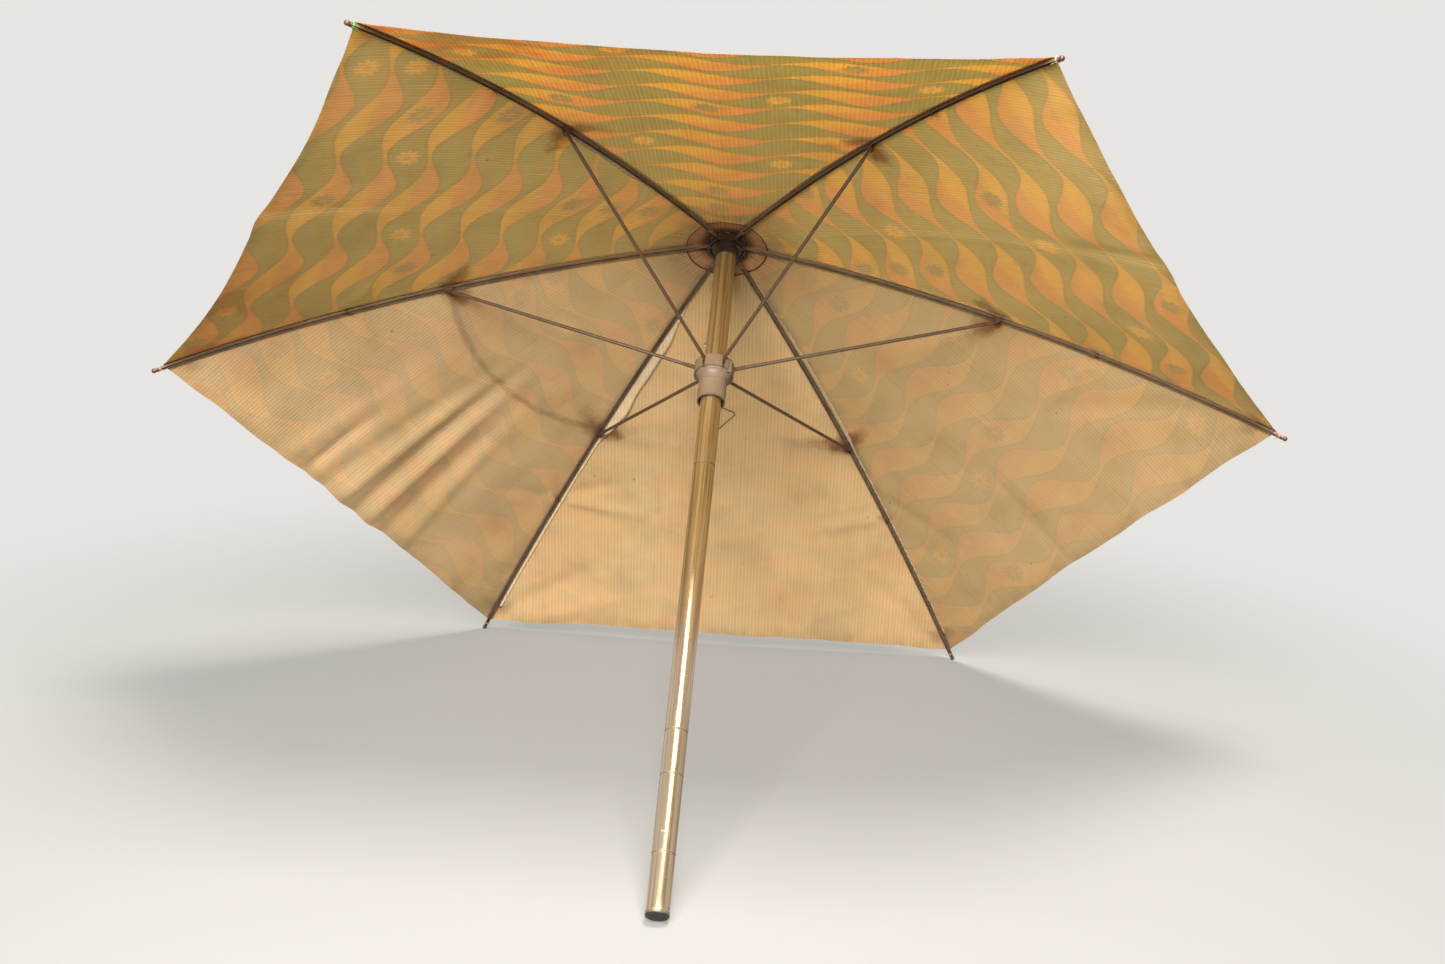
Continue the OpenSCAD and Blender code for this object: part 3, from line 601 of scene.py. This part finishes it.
def print_colour(tree):
    """The roller print: leaf bands in gold on sage, and a daisy here and there."""
    place, across, along = own_map(tree, "print")
    wob = mottle(tree, place, 55, 2) - 0.5
    across = across + wob * 0.004
    turn = across * (2 * math.pi / repeat_long)
    sway = work("SINE", turn + 0.9) * 0.0075
    row = (along + sway + wob * 0.002) / repeat_high
    gold_row, sage_row = work("FLOOR", row), work("FLOOR", row + 0.5)
    in_gold, in_sage = row - gold_row - 0.5, row + 0.5 - sage_row - 0.5
    upper = work("COSINE", turn + 0.55) * 0.215 + 0.245
    lower = work("COSINE", turn - 0.55) * 0.215 + 0.245
    inside = work("MINIMUM", upper - in_gold, lower + in_gold)
    leaf = climb(inside, -0.008, 0.008)
    line = climb(work("ABSOLUTE", inside), 0.046, 0.016)
    vein = work("SINE", turn + 0.25)
    gold_leaf = blend_colours(tree, climb(in_gold - vein * 0.16, -0.012, 0.012), peach, gold)
    sage_leaf = blend_colours(tree, climb(in_sage + vein * 0.15, -0.02, 0.02), khaki, sage)
    colour = blend_colours(tree, leaf, sage_leaf, gold_leaf)
    colour = blend_colours(tree, line * 0.62, colour, olive_line)
    for lay, count, shift, seed, often, petal, eye_tint in (
            (in_gold, gold_row, 0.0, 3.1, 0.70, petal_grey, eye_peach),
            (in_sage, sage_row, 0.5, 8.7, 0.66, petal_gold, eye_brown)):
        cell = work("FLOOR", across / repeat_long + 0.5 + shift)
        x = across - (cell - shift) * repeat_long
        y = lay * repeat_high
        far = work("SQRT", x * x + y * y)
        drawn = add_node(tree, "ShaderNodeTexWhiteNoise",
                         {"Vector": vector(tree, cell, count, seed)}, noise_dimensions="3D")
        pick = Reading(tree, drawn.outputs["Value"])
        petals = work("ABSOLUTE", work("COSINE", work("ARCTAN2", y, x) * 4.5 + pick * 3))
        bloom = (climb(petals * 0.0090 + 0.0082 - far, -0.0004, 0.0004)
                 * climb(pick, often, often + 0.001))
        colour = blend_colours(tree, bloom * 0.95, colour, petal)
        eye_ring = climb(work("ABSOLUTE", far - 0.0032), 0.0016, 0.0008)
        colour = blend_colours(tree, bloom * eye_ring, colour, eye_tint)
    return colour


cord_apart, threads_apart, cord_deep = 0.0056, 0.0041, 0.0004


def cord_height(tree):
    """Fine raised cords along the gore with threads across them."""
    place, across, along = own_map(tree, "cut")
    wob = mottle(tree, place, 30, 2) * 0.0016
    cord = climb(work("SINE", (across + wob) * (2 * math.pi / cord_apart)), 0.25, 1.0)
    threads = work("SINE", along * (2 * math.pi / threads_apart)) * 0.5 + 0.5
    plain = mottle(tree, place, 700, 2)
    return cord + threads * 0.30 + plain * 0.25, cord


corner_at, tide_at = 0.765, 0.399


def grime(tree, colour):
    """Dust, dirt along the ribs and the outer edge, rust at the joints and ties, and stains."""
    place = own_map(tree, "print")[0]
    _, across, along = own_map(tree, "cut")
    from_rib, from_edge = own_number(tree, "from_rib"), own_number(tree, "from_edge")
    out = own_number(tree, "reach")
    cloud, patch = mottle(tree, place, 9, 5, 0.62), mottle(tree, place, 34, 4, 0.6)
    pleat = mottle(tree, vector(tree, work("ARCTAN2", across, along) * 26, out * 9), 1, 3)
    marks = [
        # dust, and an even soiling
        (climb(cloud, 0.42, 0.78) * 0.32, (0.30, 0.21, 0.11)),
        (own_number(tree, "soiled") * (0.6 + 0.8 * patch), (0.47, 0.34, 0.17)),
        # dirt along the ribs and along the outer edge
        (climb(from_rib, 0.010, 0.001) * climb(patch, 0.30, 0.72) * 0.20, (0.22, 0.145, 0.075)),
        (climb(from_edge, 0.024, 0.001) * climb(patch, 0.20, 0.70) * 0.30, (0.28, 0.17, 0.055)),
        # dark pleats and a dark round under the crown
        (climb(pleat, 0.46, 0.64) * climb(out, 0.15, 0.07) * 0.45, (0.17, 0.10, 0.045)),
        (climb(out, 0.20, 0.05) * 0.48, (0.25, 0.13, 0.045))]
    for at, size, strength in ((joint_at, 0.046, 0.85), (tie_at, 0.013, 0.7),
                               (corner_at, 0.03, 0.45)):
        far = work("SQRT", (out - at) * (out - at) * 2.6 + from_rib * from_rib * 0.6)
        rust = climb(far + (patch - 0.5) * size * 1.6, size, size * 0.15)
        marks.append((rust * strength, (0.25, 0.095, 0.030)))
    specks = climb(mottle(tree, place, 75, 2, 0.5), 0.735, 0.78)
    tide = own_number(tree, "tide")
    ring = work("SQRT", across * across + along * along * (1 / slant ** 2))
    ring = ring + (patch - 0.5) * 0.012
    line = climb(work("ABSOLUTE", ring - tide_at), 0.0075, 0.001) * tide
    spread = climb(ring, 0.33, 0.40) * climb(ring, 0.41, 0.400) * tide
    damp = climb(from_rib + (patch - 0.5) * 0.036, 0.022, 0.006) * climb(patch, 0.30, 0.55)
    damp = damp * own_number(tree, "damp") * climb(out, 0.56, 0.46) * climb(out, 0.06, 0.12)
    blush = own_number(tree, "blush") * climb(cloud, 0.40, 0.62)
    marks += [(specks * 0.6, (0.16, 0.09, 0.04)),
              (line * climb(patch, 0.2, 0.6) * 0.36 + spread * 0.12, (0.20, 0.115, 0.055)),
              (damp * 0.50, (0.15, 0.145, 0.07)),
              (blush * 0.5, (0.62, 0.20, 0.06))]
    for share, tint in marks:
        colour = blend_colours(tree, share, colour, tint)
    return colour


def woven(name, parts, rough, gloss, grain, sheen=0.0):
    """Corded cloth: its own colour, and the light that comes through it."""
    made, tree, out = new_finish(name)
    height, cord = cord_height(tree)
    colour, through, share = parts(tree, cord)
    near = add_node(tree, "ShaderNodeBsdfPrincipled", {
        "Base Color": colour, "Roughness": rough, "Specular IOR Level": gloss,
        "Sheen Weight": sheen, "Normal": raised(tree, height, grain, cord_deep)})
    light = add_node(tree, "ShaderNodeBsdfTranslucent", {"Color": through})
    tree.links.new(mix_shaders(tree, share, near, light).outputs[0], out.inputs["Surface"])
    return made


white, between_cords = (1.0, 1.0, 1.0), (0.42, 0.33, 0.20)


def gore_cloth(inner):
    """The cloth's pale inside, with the print faint in it, or its printed outside."""
    def parts(tree, cord):
        place = own_map(tree, "cut")[0]
        printed = print_colour(tree)
        worn = mottle(tree, place, 6, 4)
        painted_washout = own_number(tree, "painted_washout")
        if inner:
            print_by_painted_light = 1 - painted_washout
            base = blend_colours(tree, climb(worn, 0.3, 0.7), (0.93, 0.66, 0.39),
                                 (0.90, 0.60, 0.32))
            # Painted light: the inside of gores with no washout takes an orange cast that stands
            # for light shining through the cloth, and the print shows less where front light
            # washed it out.
            base = blend_colours(tree, climb(print_by_painted_light, 0.88, 1.0) * 0.7, base, (0.95, 0.64, 0.22))
            colour = blend_colours(tree, (climb(worn, 0.35, 0.7) * 0.08 + 0.05) * print_by_painted_light, base,
                                   printed)
            through = blend_colours(tree, print_by_painted_light * 0.50, (0.97, 0.83, 0.42), printed)
        else:
            colour = blend_colours(tree, climb(worn, 0.3, 0.75) * 0.18, printed,
                                   (0.62, 0.47, 0.24))
            # Painted light: the light through the cloth is paler where the washout is high.
            through = grime(tree, blend_colours(tree, painted_washout * 0.75 + 0.20, printed,
                                                (0.95, 0.80, 0.50)))
        slub = climb(mottle(tree, place, 1, 4, 0.6, (300, 9, 1)), 0.50, 0.74)
        dark = blend_colours(tree, (1 - cord) * 0.20 + slub * 0.13, white, between_cords)
        return (blend_colours(tree, 1.0, grime(tree, colour), dark, "MULTIPLY"),
                blend_colours(tree, 1.0, through, dark, "MULTIPLY"), 0.37 if inner else 0.60)
    return parts


def plain_cloth(light, shade, glow, stitched_at=None):
    """Cloth with no print: two tints in clouds, dark at the crown and along its stitches."""
    def parts(tree, cord):
        reach = own_number(tree, "reach")
        stain = mottle(tree, own_map(tree, "cut")[0], 45, 4)
        colour = blend_colours(tree, climb(stain, 0.3, 0.7), light, shade)
        colour = blend_colours(tree, climb(reach + (stain - 0.5) * 0.02, 0.048, 0.032) * 0.8,
                               colour, (0.10, 0.045, 0.02))
        if stitched_at:
            colour = blend_colours(tree, climb(reach, stitched_at - 0.002, stitched_at) * 0.85,
                                   colour, (0.075, 0.045, 0.02))
        dark = blend_colours(tree, (1 - cord) * 0.25, white, between_cords)
        colour = blend_colours(tree, 1.0, colour, dark, "MULTIPLY")
        return colour, colour, glow
    return parts


cloth_finishes = (
    woven("cloth_printed_face", gore_cloth(inner=False), 0.86, 0.22, 0.55, 0.10),
    woven("cloth_pale_reverse", gore_cloth(inner=True), 0.86, 0.22, 0.55, 0.10),
    woven("cloth_crown_patch", plain_cloth((0.80, 0.46, 0.22), (0.60, 0.31, 0.145), 0.45, 0.060),
          0.88, 0.2, 0.5),
    woven("cloth_cut_edge", plain_cloth((1.0, 0.97, 0.90), (1.0, 0.95, 0.86), 0.95),
          0.88, 0.2, 0.5),
    woven("cloth_seam_strip", plain_cloth((0.96, 0.80, 0.56), (0.90, 0.68, 0.42), 0.25),
          0.88, 0.2, 0.5))
outside, inside, patch, rim, strip = range(5)

# What differs from gore to gore: where the print starts, how wide the seam allowance is at the
# rib of that number, how far painted light washes the print out of the cloth, and how soiled the
# cloth is.
print_start = {1: (0.031, 0.013), 2: (0.128, 0.044), 3: (0.075, 0.022), 4: (0.150, 0.051),
               5: (0.010, 0.030), 6: (0.098, 0.006)}
allowance = {1: 0.0070, 2: 0.0085, 3: 0.0170, 4: 0.0060, 5: 0.0065, 6: 0.0075}
painted_washout = {1: 0.12, 2: 0.78, 3: 0.22, 4: 0.0, 5: 0.0, 6: 0.0}
soiled_gore, soiled, tide_gore = 1, 0.30, 3
# Where a gore has gone pink: from and to along the ribs, then from and to across.
blushes = {4: (0.56, 0.74, -0.08, -0.28), 5: (0.60, 0.70, -0.02, -0.16)}
sheet_in, at_edge, off_the_edge = 0.028, 0.75, 0.3
rows, columns = 118, 60
patch_in, patch_out, patch_rows, patch_columns = 0.029, 0.061, 10, 14
strip_in, strip_out, strip_rows, strip_columns = 0.068, 0.764, 150, 4
strip_thick = 0.0003


def gore_at(rib, side):
    """The gore that lies on one side of a rib."""
    return rib if side > 0 else (rib - 2) % 6 + 1


def plan_share(v):
    """Distance from the pole to a point v of the way from rib to middle, for each metre of r."""
    return math.hypot(1 - v / 4, v * rib_to_middle)


def start_cloth():
    """An empty shape with its maps, its flat place, and the numbers that its finish reads."""
    shape = bmesh.new()
    maps = [shape.loops.layers.uv.new(name) for name in ("cut", "print")]
    numbers = {name: shape.verts.layers.float.new(name)
               for name in ("from_rib", "from_edge", "reach", "tide", "blush", "painted_washout", "damp",
                            "soiled")}
    return shape, maps, numbers, shape.verts.layers.float_vector.new("flat_at")


def lay_maps(shape, maps, flat_at, start):
    """Lay the cut and the print on a finished sheet."""
    cut, printed = maps
    for face in shape.faces:
        for loop in face.loops:
            x, y, _ = loop.vert[flat_at]
            loop[cut].uv = (x, y)
            loop[printed].uv = (x + start[0], y + start[1])
    shape.verts.layers.float_vector.remove(flat_at)


def lay_sheet(shape, place_at, x_segments, y_segments, thickness, faces):
    """A grid laid on a surface, given its thickness and its face, back and rim materials."""
    grid = bmesh.ops.create_grid(shape, x_segments=x_segments, y_segments=y_segments, size=0.5)
    new = grid["verts"]
    own = {v: (round((v.co.x + 0.5) * x_segments), round((v.co.y + 0.5) * y_segments))
           for v in new}
    top = list({f for v in new for f in v.link_faces})
    for v, (i, j) in own.items():
        place_at(v, i, j)
    before = set(shape.faces)
    made = bmesh.ops.solidify(shape, geom=top, thickness=thickness)
    back = [g for g in made["geom"] if isinstance(g, bmesh.types.BMFace)]
    rim = set(shape.faces) - before - set(back)
    for group, finish in zip((top, back, rim), faces):
        for face in group:
            face.material_index = finish
            face.smooth = True
    for face in rim:
        for edge in face.edges:
            if any(f not in rim for f in edge.link_faces):
                edge.smooth = False


def sew_half_gore(rib, side):
    """One half gore on a rib: the sheet, the crown patch and the seam allowance."""
    gore = gore_at(rib, side)
    shape, maps, numbers, flat_at = start_cloth()
    edge_marks = []

    def note(v, across, r, v_share, edge):
        v[numbers["from_rib"]] = rib_to_middle * r * v_share
        v[numbers["from_edge"]] = edge
        v[numbers["reach"]] = r
        v[numbers["painted_washout"]] = painted_washout[gore]
        v[numbers["tide"]] = 1.0 if gore == tide_gore else 0.0
        v[numbers["soiled"]] = soiled if gore == soiled_gore else 0.0
        v[numbers["damp"]] = 1.0 if gore == soiled_gore and side < 0 else 0.0
        if gore in blushes:
            r0, r1, across0, across1 = blushes[gore]
            v[numbers["blush"]] = ease(r, r0, r1) * ease(across, across0, across1)
        v[flat_at] = Vector((across, slant * r * math.cos(half_gore), 0))

    def half(j, count, r):
        """How far across a column lies, and its share of the way from the rib."""
        t = j / count
        return (-(r / 2) * (1 - t), t) if side > 0 else (r / 2 * t, 1 - t)

    def sheet_at(v, i, j):
        across_edge, v_share = half(j, columns, at_edge)
        first = sheet_in / plan_share(v_share)
        last = gore_edge(gore, across_edge, v_share)
        r = first + (last - first) * i / rows
        across, _ = half(j, columns, r)
        v.co = cloth_point(gore, across, r)
        note(v, across, r, v_share, (last - r) * slant * math.cos(half_gore))
        if v_share > 0.9999 or i == rows:
            edge_marks.append((v, across, r))

    def patch_at(v, i, j):
        _, v_share = half(j, patch_columns, 1)
        plan = plan_share(v_share)
        r = (patch_in + (patch_out - patch_in) * i / patch_rows) / plan
        across, _ = half(j, patch_columns, r)
        pleat = 0.00022 * math.sin(j / patch_columns * 34) * ease(i, 1, 6)
        v.co = cloth_point(gore, across, r, -0.00085 + pleat)
        note(v, across, r, v_share, off_the_edge)
        v[numbers["reach"]] = r * plan

    def strip_at(v, i, j):
        r = strip_in + (strip_out - strip_in) * i / strip_rows
        wave = noise.noise(Vector((r * 21, rib * 9.0, 1.0)))
        wide = allowance[rib] * (0.92 + 0.16 * wave) * ease(r, 0.08, 0.26)
        wide = max(0.0015, wide * (1 - 0.62 * ease(r, joint_at - 0.02, joint_at + 0.03)))
        off = 0.0033 + wide * j / strip_columns
        v_share = off / (rib_to_middle * r)
        curl = 0.0007 + wide * (0.28 + 0.20 * wave) * (j / strip_columns) ** 1.5
        v.co = cloth_point(gore, r / 2 * (1 - v_share), r, -curl)
        note(v, r / 2 * (1 - v_share), r, v_share * 0.3 + 0.02, off_the_edge)

    lay_sheet(shape, sheet_at, rows, columns, cloth_thick, (outside, inside, rim))
    lay_sheet(shape, patch_at, patch_rows, patch_columns, strip_thick, (patch,) * 3)
    if side < 0:
        lay_sheet(shape, strip_at, strip_rows, strip_columns, strip_thick, (strip,) * 3)

    # The cut edges shade as the cloth beside them does, so that neighbours meet without a line.
    shape.verts.index_update()
    normals = [(0.0, 0.0, 0.0)] * len(shape.verts)
    for v, across, r in edge_marks:
        near = across * 0.99
        ahead = cloth_point(gore, near, r + 0.002) - cloth_point(gore, near, r - 0.002)
        over = cloth_point(gore, near + 0.002, r) - cloth_point(gore, near - 0.002, r)
        upright = ahead.cross(over).normalized()
        twin = min(v.link_edges, key=lambda e: e.calc_length()).other_vert(v)
        normals[v.index], normals[twin.index] = tuple(upright), tuple(-upright)
    lay_maps(shape, maps, flat_at, print_start[gore])
    cloth = make_piece(f"cloth_{rib}_{'left' if side > 0 else 'right'}", shape, *cloth_finishes)
    cloth.data.normals_split_custom_set_from_vertices(normals)
    return cloth


for rib in range(1, 7):
    turn = math.radians(60 * (rib - 1))
    for side in (1, -1):
        cloth = sew_half_gore(rib, side)
        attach(cloth, f"rib_arm_{rib}")
        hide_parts(f"canopy_{rib}")
        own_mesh(cloth)


# ---- seam over each rib ----
# The gores are joined by a flat seam of the same cloth, felled and stitched down along both
# sides, which lies over the rib on the outside.
seam_half, seam_start, seam_end = 0.0062, 0.0355, cloth_out + 0.0003
seam_rows, seam_columns = 150, 6
for rib in range(1, 7):
    shape, maps, numbers, flat_at = start_cloth()

    def seam_at(v, i, j):
        r = seam_start + (seam_end - seam_start) * i / seam_rows
        off = seam_half * (j / seam_columns * 2 - 1)
        if j in (0, seam_columns):
            off += 0.0005 * noise.noise(Vector((r * 60, rib * 3.0, 9.0)))
        side = 1 if off >= 0 else -1
        v_share = min(abs(off) / (rib_to_middle * r), 0.9)
        v.co = cloth_point(gore_at(rib, side), -side * (r / 2) * (1 - v_share), r,
                           0.00075 - 0.0001 * abs(j - 3))
        v[numbers["from_rib"]] = abs(off)
        v[numbers["from_edge"]] = off_the_edge
        v[numbers["reach"]] = r
        v[flat_at] = Vector((off, slant * r, 0))

    lay_sheet(shape, seam_at, seam_rows, seam_columns, cloth_thick,
              (outside, inside, outside))
    across, along = print_start[rib]
    lay_maps(shape, maps, flat_at, (across - 0.25, along))
    seam = make_piece(f"seam_{rib}", shape, *cloth_finishes[:2])
    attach(seam, f"rib_arm_{rib}")


# ---- round piece at the top ----
# A disc of plain brown cloth, clamped between the crown and the cap over the gores' ends.
round_reach, hole_reach, round_top = 0.036, 0.0062, 1.052
shape = bmesh.new()
printed = shape.loops.layers.uv.new("print")
cut = shape.loops.layers.uv.new("cut")
for reach in (round_reach, hole_reach):
    bmesh.ops.create_circle(shape, cap_ends=False, segments=72, radius=reach)
bmesh.ops.bridge_loops(shape, edges=shape.edges[:])
bmesh.ops.subdivide_edges(shape, edges=[e for e in shape.edges if e.calc_length() > 0.02],
                          cuts=9, use_grid_fill=True)
for v in shape.verts:
    out = math.hypot(v.co.x, v.co.y)
    turn = math.atan2(v.co.y, v.co.x)
    v.co.z = round_top - 0.00004 * ease(out, 0.030, round_reach) * (1 + math.sin(turn * 6))
bmesh.ops.recalc_face_normals(shape, faces=shape.faces[:])
if sum(f.normal.z for f in shape.faces) < 0:
    bmesh.ops.reverse_faces(shape, faces=shape.faces[:])
bmesh.ops.solidify(shape, geom=shape.faces[:], thickness=cloth_thick)
for face in shape.faces:
    for loop in face.loops:
        loop[printed].uv = (loop.vert.co.x + 0.05, loop.vert.co.y + 0.02)
        loop[cut].uv = (loop.vert.co.x, loop.vert.co.y)


def brown_cloth(tree):
    """Plain brown corded cloth, bleached in clouds."""
    cloud = mottle(tree, on_part(tree), 60, 4)
    colour = blend_colours(tree, climb(cloud, 0.35, 0.7), (0.24, 0.145, 0.075),
                           (0.33, 0.22, 0.12))
    return colour, 0.9, 0.0, cord_height(tree)[0]


round_piece = make_piece("cloth_round", shape, finish_from("cloth_round_brown", brown_cloth,
                                                           0.5, 0.0003, 0.2))
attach(round_piece, "pole")
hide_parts("canopy_centre")


# ---- cap and knob ----
# A pale beige cap and the knob screwed down on it, which clamp the cloth on the crown.
dress(["top_cap", "knob"], finish_from("cap_beige_plastic", moulded(
    (0.18, 0.14, 0.10), (0.23, 0.18, 0.13), (0.24, 0.18, 0.12)), 0.1))


# ---- threads ----
# Waxed thread wound round each rib: brown where the cloth is tied down half way, and pale where
# the gores' corners are made fast to the ends of the ribs. One corner was mended in green.
def thread_finish(name, first, second):
    """Twisted thread in two tints."""
    def build(tree):
        place = on_part(tree)
        cloud = mottle(tree, place, 400, 3)
        twist = mottle(tree, place, 2600, 2)
        return (blend_colours(tree, climb(cloud, 0.35, 0.65), first, second),
                0.85, 0.0, twist + cloud)
    return finish_from(name, build, 0.5, 0.0001, 0.2)


brown_thread = thread_finish("thread_brown", (0.085, 0.045, 0.022), (0.15, 0.085, 0.04))
cream_thread = thread_finish("thread_cream", (0.38, 0.305, 0.20), (0.28, 0.21, 0.13))
green_thread = thread_finish("thread_green", (0.05, 0.27, 0.06), (0.09, 0.36, 0.10))


def strand(shape, path, thick):
    """A round thread swept along a few points, closed at both ends."""
    rings = []
    for at, point in enumerate(path):
        ahead = (path[min(at + 1, len(path) - 1)] - path[max(at - 1, 0)]).normalized()
        ring = bmesh.ops.create_circle(
            shape, cap_ends=False, segments=7, radius=thick / 2,
            matrix=Matrix.Translation(point) @ ahead.to_track_quat("Z", "Y").to_matrix().to_4x4())
        rings.append(ring["verts"])
    for first, second in zip(rings, rings[1:]):
        edges = [e for e in {e for v in first + second for e in v.link_edges}
                 if all(v in first for v in e.verts) or all(v in second for v in e.verts)]
        bmesh.ops.bridge_loops(shape, edges=edges)
    for ring in (rings[0], rings[-1]):
        bmesh.ops.contextual_create(shape, geom=ring)


def wound_thread(name, rib, reach, turns, pitch, thick, ends, made, replaced=None):
    """Turns of thread round a rib, with the knot below and strands up to the cloth."""
    shape = bmesh.new()
    turn, slope = math.radians(60 * (rib - 1)), rib_slope(reach)
    frame_at = (Matrix.Rotation(turn, 4, "Z")
                @ Matrix.Translation((reach, 0, rib_height(reach)))
                @ Matrix.Rotation(slope, 4, "Y"))
    half_wide, half_tall = rib_wide / 2 + thick * 0.52, rib_tall / 2 + thick * 0.52
    path = []
    for step in range(turns * 20 + 1):
        angle = 2 * math.pi * step / 20 - math.pi / 2
        c, s = math.cos(angle), math.sin(angle)
        far = (abs(c / half_wide) ** 6 + abs(s / half_tall) ** 6) ** (-1 / 6)
        path.append(Vector((pitch * (step / 20 - turns / 2), far * c, far * s)))
    strand(shape, path, thick)
    low = -half_tall - thick * 0.7
    for flip in (-1, 1):
        loop = [Vector((0.0009 * math.cos(a) * flip, 0.0011 * math.sin(a),
                        low - 0.0005 + 0.0003 * math.sin(2 * a)))
                for a in (k * math.pi / 5 for k in range(9))]
        strand(shape, loop, thick * 0.95)
    for dx, dy, dz, bend in ends:
        strand(shape, [Vector((dx * t + bend * math.sin(3 * t) * 0.001, dy * t,
                               low + dz * t * t)) for t in (0, 0.25, 0.5, 0.75, 1.0)],
               thick * 0.8)
    for flip in (-1, 1):
        up = half_tall + cloth_gap + 0.0004
        strand(shape, [Vector((flip * pitch, flip * half_wide, 0)),
                       Vector((flip * pitch * 0.9, flip * half_wide * 1.02, half_tall)),
                       Vector((flip * pitch * 0.6, flip * half_wide * 0.85, up - 0.0012)),
                       Vector((flip * pitch * 0.4, flip * half_wide * 0.55, up - 0.0005))],
               thick)
    bmesh.ops.remove_doubles(shape, verts=shape.verts[:], dist=1e-7)
    bmesh.ops.recalc_face_normals(shape, faces=shape.faces[:])
    for face in shape.faces:
        face.smooth = True
    bmesh.ops.transform(shape, verts=shape.verts[:], matrix=frame_at)
    thread = make_piece(name, shape, made)
    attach(thread, f"rib_arm_{rib}")
    if replaced:
        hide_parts(replaced)


corner_thread_at, mended_rib = 0.7925, 5
for rib in range(1, 7):
    lean = 1 if rib % 2 else -1
    wound_thread(f"tie_{rib}", rib, tie_at, 4, 0.00062, 0.0006,
                 ((0.004 * lean, 0.003, -0.0035, lean),
                  (-0.003, -0.004 * lean, -0.0022, -lean)),
                 brown_thread, f"rib_tie_{rib}")
    wound_thread(f"corner_thread_{rib}", rib, corner_thread_at, 3, 0.00085, 0.0008,
                 ((-0.006, 0.0035 * lean, -0.0030, lean),
                  (-0.004, -0.005 * lean, -0.0045, -lean)),
                 green_thread if rib == mended_rib else cream_thread)
